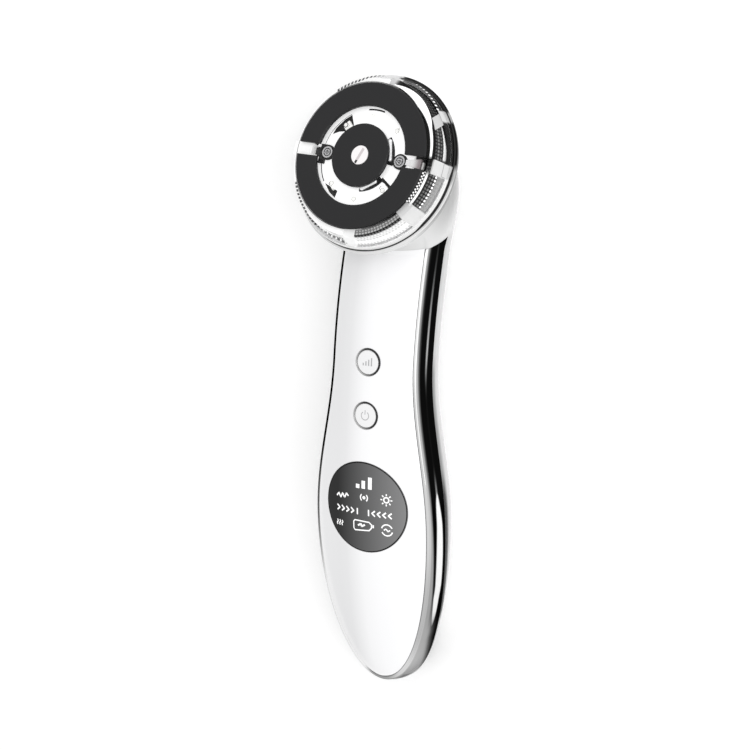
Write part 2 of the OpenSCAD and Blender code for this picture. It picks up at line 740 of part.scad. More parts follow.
module light_blocks() {
    drop = reflector_top - 0.1;
    color([0.9, 0.9, 0.9, 0.8]) in_pattern() for (a = block_a) rotate(a) intersection() {
        rotate_extrude() polygon([
            [prism_in, cap_inside - 0.05],
                [cap_in_r(cap_inside) - fit, cap_inside - 0.05], [cap_in_r(plate_top) - fit, plate_top],
            [cap_in_r(plate_top) - block_t, plate_top],
                [cap_in_r(drop) - block_t, drop], [prism_in, drop]]);
        translate([0, -block_w / 2, -far]) cube([far, block_w, far]);
    }
}
module prism_ring() {
    top = reflector_top - 0.3;
    color([0.7, 0.72, 0.75]) in_pattern() rotate_extrude() polygon([
        [prism_in, top], [cap_in_r(top) - prism_wall_gap, top],
        [cap_in_r(plate_top) - prism_wall_gap, plate_top], [prism_in, plate_top]]);
}
spacer_at = 10;
led_w = 2.5;
led_h = 0.9;
led_lens_r = 0.8;
// Openings of the reflector: corners given by radius and angle
function at_angle(r, a) = [r * cos(a), r * sin(a)];
edge_r = reflector_r - 2.2;
upper_window = [[edge_r, 122], [led_at - 1.6, 124], [led_at - 1.7, 140], [led_at, 148],
    [edge_r - 0.3, 158], [edge_r, 148], [edge_r, 134]];
lower_window = [[edge_r, 217], [led_at, 240], [edge_r, 243], [edge_r + 0.1, 230]];
slit = [[center_r - 0.6, 318], [center_r - 0.6, 327], [edge_r, 327], [edge_r, 322], [led_at - 1.8, 322]];
module reflector() {
    spacer_h = reflector_top - reflector_t - led_board_top;
    color("white") in_pattern() difference() {
        union() {
            translate([0, 0, reflector_top - reflector_t]) cylinder(r = reflector_r, h = reflector_t);
            for (a = head_screw_a) rotate(a) translate([led_at, 0, led_board_top])
                cylinder(r = 1.9, h = spacer_h);
            for (a = center_pin_a) rotate(a) translate([spacer_at, 0, led_board_top])
                cylinder(r = 0.9, h = spacer_h);
        }
        translate([0, 0, reflector_top - reflector_t - eps]) {
            for (a = led_a) rotate(a) translate([led_at, 0, 0]) cylinder(r = led_lens_r + gap, h = far);
            for (a = head_screw_a) rotate(a) translate([led_at, 0, -far / 2])
                cylinder(r = screw_r + fit, h = far);
            for (a = center_pin_a) rotate(a) translate([center_pin_at, 0, 0])
                cylinder(r = pin_r + gap, h = far);
            for (shape = [upper_window, lower_window, slit]) linear_extrude(height = far)
                polygon([for (p = shape) at_angle(p[0], p[1])]);
            rotate(180) translate([led_at + 1.8, -1.6, 0]) cube([far, 3.2, far]);
        }
    }
}
module led_board() {
    color([0.1, 0.1, 0.1]) in_pattern() difference() {
        translate([0, 0, led_board_top - led_board_t]) cylinder(r = led_board_r, h = led_board_t);
        translate([0, 0, led_board_top - led_board_t - eps]) for (a = head_screw_a) rotate(a)
            translate([led_at, 0, 0]) cylinder(r = screw_r + fit, h = far);
    }
}
module head_leds() {
    color("lightyellow") in_pattern() {
        for (a = led_a) rotate(a) translate([led_at, 0, led_board_top]) {
            slab(led_w, led_w, led_h);
            cylinder(r = led_lens_r, h = reflector_top - led_board_top + 0.2);
        }
        for (a = block_a) rotate(a) translate([led_board_r - 1, 0, led_board_top]) slab(1.6, 2, 1);
    }
}
// A polished arm and a black clip lie on the reflector, under the gaps between the electrodes
arm_t = 0.9;
arm_w = [1.4, 3];
clip_t = 0.6;
clip_w = 2.2;
clip_bar = [-2.2, 4.4];
clip_cross = [-2.4, 3.6];
clip_cross_at = 1.7;
screw_head = 1.8;
module side_arm() {
    from = led_at + screw_head + fit;
    to = prism_in - gap;
    color("silver") in_pattern() translate([0, 0, reflector_top]) linear_extrude(height = arm_t)
        polygon([[from, -arm_w[0] / 2], [to, -arm_w[1] / 2], [to, arm_w[1] / 2], [from, arm_w[0] / 2]]);
}
module side_clip() {
    color([0.05, 0.05, 0.05]) in_pattern() rotate(180) translate([led_at, 0, reflector_top]) difference() {
        union() {
            translate([clip_bar[0], -clip_w / 2, 0]) cube([clip_bar[1] - clip_bar[0], clip_w, clip_t]);
            translate([clip_cross_at - clip_w / 2, clip_cross[0], 0])
                cube([clip_w, clip_cross[1] - clip_cross[0], clip_t]);
        }
        translate([0, 0, -eps]) cylinder(r = screw_head + fit, h = clip_t + 2 * eps);
    }
}
module led_board_screws() {
    color("silver") in_pattern() for (a = head_screw_a) rotate(a) translate([led_at, 0, reflector_top])
        screw(screw_r, screw_head, 0.9, 5.2);
}
module head_frame() {
    standoff_h = led_board_top - led_board_t - plate_top;
    color("white") in_head() difference() {
        union() {
            rotate_extrude() polygon([
                [6, frame_back], [collar_r - 0.3, frame_back],
                    [collar_r, frame_back + 0.3], [collar_r, collar_top - 0.3],
                [collar_r - 0.3, collar_top],
                    [collar_in, collar_top], [collar_in, plate_top], [6, plate_top]]);
            rotate(head_turn) {
                for (a = head_screw_a) rotate(a) translate([led_at, 0, plate_top])
                    cylinder(r = post_r, h = standoff_h);
                for (a = [90, 270]) rotate(a) translate([led_at, 0, plate_top])
                    cylinder(r = post_r, h = standoff_h);
            }
        }
        rotate(head_turn) for (a = head_screw_a) rotate(a) translate([led_at, 0, frame_back - eps])
            cylinder(r = screw_r + screw_fit, h = far);
        for (a = head_post_a) rotate(a) translate([head_post_at, 0, frame_back - eps])
            cylinder(r = screw_r + fit, h = far);
    }
}
module head_seal() {
    color([0.08, 0.08, 0.08]) in_head() translate([0, 0, -rim_depth])
        tube(rim_r - wall + 0.1, collar_r - 0.2, seal_t);
}
module head_screws() {
    color("silver") in_head() for (a = head_post_a) rotate(a) translate([head_post_at, 0, plate_top])
        screw(screw_r, 1.5, 0.9, 4.6);
}

front_shell();
rear_shell();
trim_band();
display_window();
display_frame();
display_panel();
level_button();
power_button();
level_ring();
power_ring();
level_plunger();
power_plunger();
switch_bodies();
main_board();
board_screws();
control_chips();
rf_transformer();
battery();
battery_strap();
strap_screws();
motor_can();
motor_shaft();
eccentric_weight();
motor_cap();
motor_screws();
charging_port();
port_tongue();
port_board();
port_screws();
clear_cap();
prism_ring();
light_blocks();
upper_electrode();
lower_electrode();
center_electrode();
sensor_lens();
contact_pins();
reflector();
side_arm();
side_clip();
led_board();
head_leds();
led_board_screws();
head_frame();
head_seal();
head_screws();
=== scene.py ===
"""A hand-held facial massager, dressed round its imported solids.

Every new piece is a surface worked out with numpy on a grid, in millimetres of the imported
model's frame: X is the width, Y runs from the handle's tip to the head, Z points out of the front.
"""

import bpy
import numpy as np
from mathutils import Matrix


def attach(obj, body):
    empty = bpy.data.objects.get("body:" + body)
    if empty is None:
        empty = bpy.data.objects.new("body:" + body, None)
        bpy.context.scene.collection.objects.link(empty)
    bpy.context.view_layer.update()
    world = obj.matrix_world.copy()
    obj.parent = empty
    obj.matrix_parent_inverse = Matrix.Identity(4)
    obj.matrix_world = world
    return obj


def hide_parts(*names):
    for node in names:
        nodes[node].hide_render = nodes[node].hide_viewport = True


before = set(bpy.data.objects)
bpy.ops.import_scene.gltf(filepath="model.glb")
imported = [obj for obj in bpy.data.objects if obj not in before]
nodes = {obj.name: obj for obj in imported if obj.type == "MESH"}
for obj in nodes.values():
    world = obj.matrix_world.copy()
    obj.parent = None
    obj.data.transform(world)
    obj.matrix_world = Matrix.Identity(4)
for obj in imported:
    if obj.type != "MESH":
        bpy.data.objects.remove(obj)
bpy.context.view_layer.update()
scene = bpy.context.scene

# Front panel
# The handle's front is one glossy white injection moulding with a crowned surface. It clips onto
# the band along its edge, and has a round opening for the display and two for the buttons.
# Lengths are millimetres: y from the tip, z from the floor. The N and J values count lattice steps.
HEAD_Y, FACE_Z = 172.3, 40.8
TILT = np.radians(15.7)
BELLY, WAIST, NOSE, TAPER = 20.1, 14.3, 54.5, 54.0
SEAM_TOP, SEAM_TOP_Y, SEAM_R_TIP, SEAM_R_NECK = 27.7, 103.5, 404.0, 190.0
CROWN, CROWN_ARC = 0.25, np.radians(54)
BAND_H, SHOULDER, BULGE, FLARE = 10.2, 1.4, 0.35, 2.0
ARCH, REST_FLAT, REST_HEAD, WALL = 5.0, 0.35, 158.0, 1.8
NECK_Y, NECK_FILLET = 142.0, 3.7
RIM_R, RIM_DEPTH, CUP_R, CUP_FOOT = 28.0, 9.8, 22.6, 2.0
BACK_POW, TURN_POW = 2 / 2.3, 1.6
N_NOSE, N_GRIP, N_TURN, N_TOP, N_LIP = 12, 16, 12, 3, 4
J_FRONT, J_REAR, J_END = 6, 12, 20
I_NECK = N_NOSE + N_GRIP
I_TOP, I_TURN = I_NECK + N_TOP, I_NECK + N_TURN
I_RIM = I_TURN + N_LIP
MID_Y = (HEAD_Y - RIM_DEPTH * np.sin(TILT) + RIM_R * np.cos(TILT) - SHOULDER - FLARE) / 2


def ease(t):
    """Half a cosine wave: 0 at t = 0, 1 at t = 1."""
    return (1 - np.cos(np.pi * np.clip(t, 0, 1))) / 2


def side_half(y):
    """Half width past the nose: a cosine taper from the belly to the waist."""
    return BELLY + (WAIST - BELLY) * ease((y - NOSE) / TAPER)


def seam_z(y):
    """Height of the parting line: one circular arc, taken as a parabola, to each side of its top."""
    return SEAM_TOP - (y - SEAM_TOP_Y) ** 2 / (2 * np.where(y < SEAM_TOP_Y, SEAM_R_TIP, SEAM_R_NECK))


def back_z(y):
    """Height of the back: on the floor at the belly and behind the head, a cosine arch between."""
    length = REST_HEAD - NOSE
    return np.where(y < NOSE, 0, ARCH * ease(2 * np.minimum(y - NOSE, REST_HEAD - y) / length))


def outline(i, e):
    """Station i along the handle, inset by e: distance from the tip, half width, outward normal.
    The nose is a quarter ellipse walked by its angle, and the rest follows the taper."""
    a = np.radians(90 * np.minimum(i, N_NOSE) / N_NOSE)
    past = NOSE + (NECK_Y - NOSE) * np.maximum(i - N_NOSE, 0) / N_GRIP
    nose = i <= N_NOSE
    y = np.where(nose, e + (NOSE - e) * (1 - np.cos(a)), past)
    w = np.where(nose, (BELLY - e) * np.sin(a), side_half(past) - e)
    slope = side_half(past - 0.5) - side_half(past + 0.5)
    nx = np.where(nose, (NOSE - e) * np.sin(a), 1.0)
    ny = np.where(nose, -(BELLY - e) * np.cos(a), slope)
    size = np.hypot(nx, ny)
    return y, w, nx / size, ny / size


def front_point(i, q, e):
    """The panel: across station i, a circular crown seen over the angle 54 q degrees."""
    y, w, _, _ = outline(i, e)
    a = CROWN_ARC * q
    h = np.maximum(CROWN * (w + e) - e, 0)
    lift = (np.cos(a) - np.cos(CROWN_ARC)) / (1 - np.cos(CROWN_ARC))
    return w * np.sin(a) / np.sin(CROWN_ARC), y, seam_z(y) + h * lift


def band_depth(q):
    """Depth behind the parting line: a quarter round up to q = 0.5, then straight down."""
    straight = SHOULDER + (BAND_H - SHOULDER) * (2 * q - 1)
    return np.where(q < 0.5, SHOULDER * (1 - np.cos(np.pi * q)), straight)


def band_point(i, q, e):
    """The band: stands out from the outline by its shoulder, a slight bulge and the tip's flare."""
    y, w, nx, ny = outline(i, e)
    bulge = SHOULDER + BULGE * np.sin(np.pi * (2 * q - 1))
    out = np.where(q < 0.5, SHOULDER * np.sin(np.pi * q), bulge)
    out = out + FLARE * band_depth(q) / BAND_H * np.maximum(-ny, 0)
    return w + nx * out, y + ny * out, seam_z(y) - band_depth(q)


def back_point(i, q, e):
    """The back: a superellipse from the band's rear edge down to the floor, clipped flat there."""
    x, y, z = band_point(i, np.ones_like(i * q), e)
    ys = outline(i, e)[0]
    share = np.where(i < N_NOSE, np.sin(np.radians(90 * np.minimum(i, N_NOSE) / N_NOSE)), 1)
    d = (z - back_z(ys) + REST_FLAT - e) * share
    c = np.clip(np.cos(np.pi / 2 * q), 0, 1)
    s = np.clip(np.sin(np.pi / 2 * q), 0, 1)
    return x * c**BACK_POW, y, np.maximum(z - d * s**BACK_POW, e)


def section_point(i, j, e):
    """Place j round half a section: front ridge, parting line, band, rear edge, back."""
    i, j = np.broadcast_arrays(np.asarray(i, float), np.asarray(j, float))
    front = front_point(i, np.clip(j / J_FRONT, 0, 1), e)
    band = band_point(i, np.clip((j - J_FRONT) / (J_REAR - J_FRONT), 0, 1), e)
    back = back_point(i, np.clip((j - J_REAR) / (J_END - J_REAR), 0, 1), e)
    return [np.where(j <= J_FRONT, f, np.where(j <= J_REAR, b, r)) for f, b, r in zip(front, band, back)]


def head_point(i, j, e):
    """The neck's section turns about a corner in front of it, grows, and becomes the cup's circle."""
    neck = np.full(np.broadcast(i, j).shape, float(I_NECK))
    px, _, pz = section_point(neck, j, e)
    ridge = section_point(I_NECK, 0, e)[2]
    base = section_point(I_NECK, J_END, e)[2]
    half_neck = section_point(I_NECK, J_REAR, e)[0]
    corner_z = section_point(I_NECK, 0, 0)[2] + NECK_FILLET
    axis, up = (np.sin(TILT), np.cos(TILT)), (np.cos(TILT), -np.sin(TILT))
    rim = (HEAD_Y - RIM_DEPTH * axis[0] - NECK_Y, FACE_Z - RIM_DEPTH * axis[1] - corner_z)
    fwd, high = rim[0] * axis[0] + rim[1] * axis[1], rim[0] * up[0] + rim[1] * up[1]
    t = np.minimum((i - I_NECK) / N_TURN, 1)
    f = np.maximum(i - I_TURN, 0) / N_LIP
    a, m = (np.pi / 2 - TILT) * t, ease(t)
    r = CUP_R + (RIM_R - CUP_R) * np.sin(np.pi / 2 * f) - e
    c = (CUP_R + CUP_FOOT) * (1 - f) + high * f
    near = (corner_z - ridge) * (1 - m) + (c - r) * m
    low = base + (e - REST_FLAT - base) * ease(3 * t)
    away = (corner_z - low) * (1 - t**TURN_POW) + (c + r) * t**TURN_POW
    half = half_neck * (1 - m) + r * m
    u = (ridge - pz) / (ridge - base)
    x = px / half_neck * (1 - m) + 2 * np.sqrt(np.clip(u * (1 - u), 0, None)) * m
    reach = near + (away - near) * u
    y = NECK_Y + reach * np.sin(a) + fwd * f * axis[0]
    z = corner_z - reach * np.cos(a) + fwd * f * axis[1]
    return half * x, y, np.maximum(z, e)


def shell_point(i, j, e):
    """A point of the casing at station i and place j, inset by e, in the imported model's frame."""
    i, j = np.broadcast_arrays(np.asarray(i, float), np.asarray(j, float))
    grip = section_point(np.minimum(i, I_NECK), np.abs(j), e)
    head = head_point(np.maximum(i, I_NECK), np.abs(j), e)
    x, y, z = [np.where(i <= I_NECK, g, h) for g, h in zip(grip, head)]
    return np.stack([x * np.where(j < 0, -1, 1), y - MID_Y, z], -1)


def grid_faces(rows, cols, closed=False, skip=None):
    """Quads between neighbouring rows and columns of a grid of points, without the skipped cells."""
    r, c = np.meshgrid(np.arange(rows - 1), np.arange(cols if closed else cols - 1), indexing="ij")
    keep = np.ones(r.shape, bool) if skip is None else ~skip
    r, c = r[keep], c[keep]
    n = (c + 1) % cols
    return np.stack([r * cols + c, r * cols + n, (r + 1) * cols + n, (r + 1) * cols + c], -1)


class Skin:
    """Collects patches of points and quads, and welds them into one mesh at the end."""

    def __init__(self):
        self.points, self.faces, self.uvs, self.count = [], [], [], 0

    def add(self, points, closed=False, skip=None, flip=False, uv=None):
        """A grid of points (rows, columns, 3), with an optional map of the same shape."""
        rows, cols = points.shape[:2]
        faces = grid_faces(rows, cols, closed, skip) + self.count
        self.faces.append(faces[:, ::-1] if flip else faces)
        self.points.append(points.reshape(-1, 3))
        self.uvs.append(np.zeros((rows * cols, 2)) if uv is None else uv.reshape(-1, 2))
        self.count += rows * cols

    def build(self, name, material, body, sharp=40, replaces=(), slot=None):
        """Welds points that coincide, drops faces that lost their area, and makes the piece."""
        points = np.concatenate(self.points) / 1000
        faces = np.concatenate(self.faces)
        uvs = np.concatenate(self.uvs)
        corner_uv = uvs[faces]
        _, first, weld = np.unique(np.round(points * 2e6), axis=0, return_index=True, return_inverse=True)
        faces = weld.reshape(-1)[faces]
        sides = [faces[:, k] != faces[:, (k + 1) % 4] for k in range(4)]
        whole = np.all(sides, axis=0)
        loops = [list(f) for f in faces[whole].tolist()]
        maps = [list(m) for m in corner_uv[whole].tolist()]
        for f, m in zip(faces[~whole].tolist(), corner_uv[~whole].tolist()):
            kept = [k for k in range(4) if f[k] != f[k - 1]]
            if len(kept) == 3:
                loops.append([f[k] for k in kept])
                maps.append([m[k] for k in kept])
        mesh = bpy.data.meshes.new(name)
        mesh.from_pydata(points[first].tolist(), [], loops)
        layer = mesh.uv_layers.new(name="map")
        layer.data.foreach_set("uv", np.array([v for m in maps for v in m], float).ravel())
        mesh.polygons.foreach_set("use_smooth", [True] * len(mesh.polygons))
        mesh.set_sharp_from_angle(angle=np.radians(sharp))
        piece = bpy.data.objects.new(name, mesh)
        scene.collection.objects.link(piece)
        mesh.materials.append(material)
        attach(piece, body)
        if replaces:
            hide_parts(*replaces)
        return piece


def new_material(name, **sockets):
    """A material with one Principled shader; each keyword sets one of its sockets by name."""
    material = bpy.data.materials.new(name)
    material.use_nodes = True
    shader = material.node_tree.nodes["Principled BSDF"]
    for socket, value in sockets.items():
        shader.inputs[socket.replace("_", " ")].default_value = value
    return material, material.node_tree.nodes, material.node_tree.links, shader


def fine_texture(parts, scale, strength, rough=None, distance=2e-5):
    """A noise bump on a surface, and its roughness varied between two values by the same noise."""
    _, tree, links, shader = parts
    place = tree.new("ShaderNodeTexCoord")
    noise = tree.new("ShaderNodeTexNoise")
    noise.inputs["Scale"].default_value = scale
    noise.inputs["Detail"].default_value = 3
    bump = tree.new("ShaderNodeBump")
    bump.inputs["Strength"].default_value = strength
    bump.inputs["Distance"].default_value = distance
    links.new(place.outputs["Object"], noise.inputs["Vector"])
    links.new(noise.outputs["Fac"], bump.inputs["Height"])
    links.new(bump.outputs["Normal"], shader.inputs["Normal"])
    if rough:
        ramp = tree.new("ShaderNodeMapRange")
        ramp.inputs["To Min"].default_value, ramp.inputs["To Max"].default_value = rough
        links.new(noise.outputs["Fac"], ramp.inputs["Value"])
        links.new(ramp.outputs["Result"], shader.inputs["Roughness"])


def finish(name, scale, strength, rough=None, **sockets):
    """A material of one even colour under its fine texture."""
    parts = new_material(name, **sockets)
    fine_texture(parts, scale, strength, rough)
    return parts[0]


def painted_light_ramp(parts, reach, stops, sockets=("Base Color",)):
    """A painted light and shade ramp: a colour that changes from left to right over the object's x; the stops
    are (share, tone).
    """
    _, tree, links, shader = parts
    place = tree.new("ShaderNodeTexCoord")
    split = tree.new("ShaderNodeSeparateXYZ")
    span = tree.new("ShaderNodeMapRange")
    span.inputs["From Min"].default_value, span.inputs["From Max"].default_value = -reach, reach
    shade = tree.new("ShaderNodeValToRGB")
    for n, (at, tone) in enumerate(stops):
        stop = shade.color_ramp.elements[n] if n < 2 else shade.color_ramp.elements.new(at)
        stop.position, stop.color = at, (tone, tone, tone * 1.01, 1)
    links.new(place.outputs["Object"], split.inputs["Vector"])
    links.new(split.outputs["X"], span.inputs["Value"])
    links.new(span.outputs["Result"], shade.inputs["Fac"])
    for socket in sockets:
        links.new(shade.outputs["Color"], shader.inputs[socket])


# The panel's colour is painted shade: greyer over a band on the left, white towards the right, and the same
# ramp feeds a faint painted glow.
white_parts = new_material("white_gloss_painted_shade", Emission_Strength=0.055, Coat_Weight=0.6, Coat_Roughness=0.04)
PANEL_SHADE_STOPS = ((0.0, 0.84), (0.24, 0.765), (0.32, 0.765), (0.48, 0.88), (0.6, 0.9))
painted_light_ramp(white_parts, 0.02, PANEL_SHADE_STOPS, ("Base Color", "Emission Color"))
fine_texture(white_parts, 260, 0.06, (0.16, 0.24))

DISPLAY_Y, DISPLAY_R, DISPLAY_GAP = 61.1, 14.9, 0.1
LEVEL_Y, POWER_Y = 108.1, 91.1
BUTTON_R, BUTTON_FIT, RING_W = 3.85, 0.08, 0.5
RING_OUT = BUTTON_R + BUTTON_FIT + RING_W


def panel_height(x, y):
    """Height of the panel's surface over any x, at y measured from the tip."""
    w = np.where(y < NOSE, BELLY * np.sqrt(np.clip(1 - (1 - y / NOSE) ** 2, 0, 1)), side_half(y))
    a = np.arcsin(np.clip(x * np.sin(CROWN_ARC) / np.maximum(w, 1e-6), -1, 1))
    lift = (np.cos(a) - np.cos(CROWN_ARC)) / (1 - np.cos(CROWN_ARC))
    return seam_z(y) + CROWN * w * lift


def on_panel(x, y, lift=0.0):
    """Points on the panel's surface, raised by lift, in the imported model's frame."""
    return np.stack([x, y - MID_Y, panel_height(x, y) + lift], -1)


def hole_patch(skin, edge, centre, radius, wall, rounding=0.25):
    """Rays from a hole's centre out to the grid cells left open round it. The last stretch rolls
    over a small round into the hole's wall."""
    away = edge - centre
    angle = np.arctan2(away[:, 1], away[:, 0])
    ring = centre + radius * np.stack([np.cos(angle), np.sin(angle)], -1)
    s = np.linspace(1, 0, 9)[:, None, None]
    outer = centre + (radius + rounding) * np.stack([np.cos(angle), np.sin(angle)], -1)
    flat = outer + (edge - outer) * s
    sheet = on_panel(flat[..., 0], flat[..., 1])
    turn = np.linspace(0, np.pi / 2, 5)[:, None]
    roll = outer[None] + (ring - outer)[None] * np.sin(turn)[..., None]
    rolled = on_panel(roll[..., 0], roll[..., 1], -rounding * (1 - np.cos(turn)))
    drop = rolled[-1:].repeat(3, 0)
    drop[:, :, 2] -= np.array([0, wall / 2, wall])[:, None]
    patch = np.concatenate([sheet, rolled[1:], drop[1:]])
    skin.add(patch, closed=True, flip=True)


def window_edge(points, cells):
    """The grid points round a block of cells, in order, counter-clockwise seen from the front."""
    r0, r1, c0, c1 = cells
    idx = [(r0, c) for c in range(c0, c1)] + [(r, c1) for r in range(r0, r1)]
    idx += [(r1, c) for c in range(c1, c0, -1)] + [(r, c0) for r in range(r1, r0, -1)]
    r, c = np.array(idx).T
    return points[r, c]


panel = Skin()
stations = np.concatenate([np.linspace(0, N_NOSE, 97), np.linspace(N_NOSE, I_NECK, 129)[1:]])
across = np.linspace(-1, 1, 57)
sheet = shell_point(stations[:, None], across[None] * J_FRONT, 0)
skip = np.zeros((len(stations) - 1, len(across) - 1), bool)
y_rows = outline(stations, 0)[0]
# each opening's middle, its radius, and half the length and share of the width cut out for it
OPENINGS = (
    (DISPLAY_Y, DISPLAY_R + DISPLAY_GAP, 17.0, 0.89),
    (POWER_Y, RING_OUT, 6.2, 0.44),
    (LEVEL_Y, RING_OUT, 6.2, 0.44),
)
for centre_y, radius, cut, share in OPENINGS:
    r0 = np.searchsorted(y_rows, centre_y - cut) - 1
    r1 = np.searchsorted(y_rows, centre_y + cut)
    c0 = int(np.argmin(np.abs(across + share)))
    c1 = len(across) - 1 - c0
    skip[r0:r1, c0:c1] = True
    edge = window_edge(sheet, (r0, r1, c0, c1))[:, :2] + [0, MID_Y]
    hole_patch(panel, edge, np.array([0, centre_y]), radius, WALL)
panel.add(sheet, skip=skip)
panel.add(shell_point(np.linspace(I_NECK, I_TOP, 25)[:, None], across[None] * J_FRONT, 0))
panel.build("front_panel", white_parts[0], "housing", replaces=["front_shell"], slot="white_shell")

# Trim band
# A single ring of plated plastic between the two shells. Its front shoulder stands proud of the
# panel, and it is held by both shells' edges. Its colour is painted reflection: a pale shoulder,
# a dark flat side and a white painted highlight, partly lit by a painted glow.
def soft(x, at, width):
    """A smooth step from 0 to 1, centred at a value and spread over a width."""
    t = np.clip((x - at) / width + 0.5, 0, 1)
    return t * t * (3 - 2 * t)


def between(x, low, high, width):
    """1 between two values, with soft ends."""
    return soft(x, low, width) * (1 - soft(x, high, width))


def mapped(u, v):
    """A map for a grid of points: u and v spread to one shape and laid side by side."""
    return np.stack(np.broadcast_arrays(u, v), -1)


def paint(piece, **fields):
    """Writes each named field, one value a corner worked out from the map (u, v), as an attribute."""
    corner = np.empty(len(piece.data.loops) * 2)
    piece.data.uv_layers["map"].data.foreach_get("uv", corner)
    u, v = corner.reshape(-1, 2).T
    for name, field in fields.items():
        level = field(u, v)
        colour = np.stack([level, level, level, np.ones_like(level)], -1)
        attribute = piece.data.color_attributes.new(name, "FLOAT_COLOR", "CORNER")
        attribute.data.foreach_set("color", colour.ravel())


def painted(parts, name, *sockets):
    """Feeds a painted attribute into a material's sockets."""
    _, tree, links, shader = parts
    reader = tree.new("ShaderNodeAttribute")
    reader.attribute_name = name
    for socket in sockets:
        links.new(reader.outputs["Fac" if socket == "Alpha" else "Color"], shader.inputs[socket])


def painted_band_light(s, q):
    """How light the plating looks, 0 to 1, at signed share s of the length and share q of the depth,
    as painted reflection. The shoulder pales outwards and ends in a sharp black side; a lens-shaped
    white glint, a painted highlight, sits on the belly and runs on as a thin streak; the nose is
    light all over; the left shoulder is a dark line."""
    u = np.abs(s)
    high = 0.73 + 0.1 * soft(u, 0.33, 0.1) + 0.14 * soft(u, 0.68, 0.1)
    low = 0.66 - 0.23 * soft(u, 0.45, 0.18) - 0.19 * soft(u, 0.72, 0.14)
    side = high + (low - high) * np.clip((q - 0.15) / 0.35, 0, 1) ** (2.2 - 1.2 * soft(u, 0.69, 0.1))
    side -= 0.1 * (1 - soft(q, 0.08, 0.08))
    side *= 1 - 0.6 * (1 - soft(q, 0.04, 0.04))
    dark = 0.07 + 0.45 * (1 - soft(u, 0.285, 0.09)) * (1 - soft(q, 0.7, 0.1))
    side += (dark - side) * soft(q, 0.59 - 0.06 * soft(u, 0.35, 0.16), 0.06)
    belly = 0.14 * np.sqrt(np.clip(1 - ((u - 0.345) / 0.12) ** 2, 0, 1))
    middle = 0.73 + 0.035 * soft(u, 0.29, 0.03) * (1 - soft(u, 0.42, 0.06))
    white = 1.02 * soft(belly - np.abs(q - middle) - 0.02, 0, 0.05)
    thin = 0.15 + 0.6 * soft(u, 0.68, 0.1) * (1 - soft(u, 0.85, 0.26)) + 0.42 * (1 - soft(u, 0.49, 0.06))
    thin = thin * soft(0.035 - np.abs(q - 0.725), 0, 0.05) * soft(u, 0.44, 0.04)
    side = np.maximum(side, np.maximum(white, thin))
    nose = 0.66 + 0.18 * soft(u, 0.05, 0.08) - 0.12 * soft(u, 0.17, 0.1)
    nose = nose * (1 - 0.2 * (1 - soft(q, 0.12, 0.24)) * (1 - soft(u, 0.07, 0.08)))
    nose = nose * (1 - 0.5 * (1 - soft(q, 0.04, 0.04)))
    nose = nose * (1 - 0.85 * soft(q, 0.78 + 2.4 * np.clip(0.2 - u, 0, 0.15), 0.34))
    level = nose + (side - nose) * soft(u, 0.235, 0.05)
    level = np.maximum(level, 0.03 + 0.08 * soft(u, 0.43, 0.06))
    left = 0.95 - 0.55 * soft(u, 0.34, 0.16) - 0.34 * soft(u, 0.5, 0.16)
    left = left + (level - left) * np.maximum(soft(q, 0.42, 0.1), 1 - soft(u, 0.06, 0.04))
    return np.where(s < 0, left, level)


def band_share(s, q):
    """What the plating throws back, so that its surroundings and the painted glow add up to its painted
    level.
    """
    around = 0.8 + 0.25 * soft(q, 0.3, 0.15) - 0.42 * soft(q, 0.8, 0.3)
    around += 1.1 * between(q, 0.15, 0.27, 0.06) * soft(np.abs(s), 0.5, 0.04)
    return 0.5 * np.clip(painted_band_light(s, q), 0, 1.05) ** 2.2 / around


# The plating's colour is painted reflection, and its emission is a painted glow; the band is no lamp.
chrome_parts = new_material("chrome_painted_reflection", Metallic=1.0, Specular_Tint=(0, 0, 0, 1), Emission_Strength=1.0)
painted(chrome_parts, "tone", "Base Color")
painted(chrome_parts, "glow", "Emission Color")
fine_texture(chrome_parts, 400, 0.03, (0.07, 0.12))

PORT_Z, PORT_W, PORT_H, SLOT_GAP, SLOT_ROUND, LINING_SHARE = 9.4, 8.94, 3.26, 0.3, 0.2, 0.62


def band_signed(s, q, e=0.0):
    """The band's point at signed station s, negative on the left, and share q of its depth."""
    x, y, z = band_point(np.abs(s), q, e)
    return np.stack([x * np.where(s < 0, -1, 1), y - MID_Y, z], -1)


def band_at(x, z):
    """The band's point seen at (x, z) from the tip: Newton's method on (s, q) from a rough guess."""
    s, q = x / 2.6, np.full_like(x, 0.7)
    for _ in range(12):
        p = band_signed(s, q)
        ds, dq = band_signed(s + 1e-4, q) - p, band_signed(s, q + 1e-4) - p
        a, b, c, d = ds[..., 0], dq[..., 0], ds[..., 2], dq[..., 2]
        rx, rz = (x - p[..., 0]) * 1e-4, (z - p[..., 2]) * 1e-4
        det = a * d - b * c
        s, q = s + (rx * d - rz * b) / det, q + (rz * a - rx * c) / det
    return band_signed(s, q)


def slot_reach(angle, half_w, half_h):
    """Distance from a round-ended slot's centre to its edge: the flat side or the end's circle."""
    c, s = np.abs(np.cos(angle)), np.abs(np.sin(angle))
    straight = half_w - half_h
    flat = half_h / np.maximum(s, 1e-9)
    end = straight * c + np.sqrt(np.clip(half_h**2 - (straight * s) ** 2, 0, None))
    return np.where(flat * c <= straight, flat, end)


band = Skin()
half = np.concatenate([np.linspace(0, N_NOSE, 145), np.linspace(N_NOSE, I_TOP, 191)[1:]])
around = np.concatenate([-half[::-1], half[1:]])
depth = np.concatenate([np.linspace(0, 0.5, 17), np.linspace(0.5, 1, 41)[1:]])
outside = band_signed(around[:, None], depth[None])
inside = band_signed(around[:, None], depth[None], WALL)
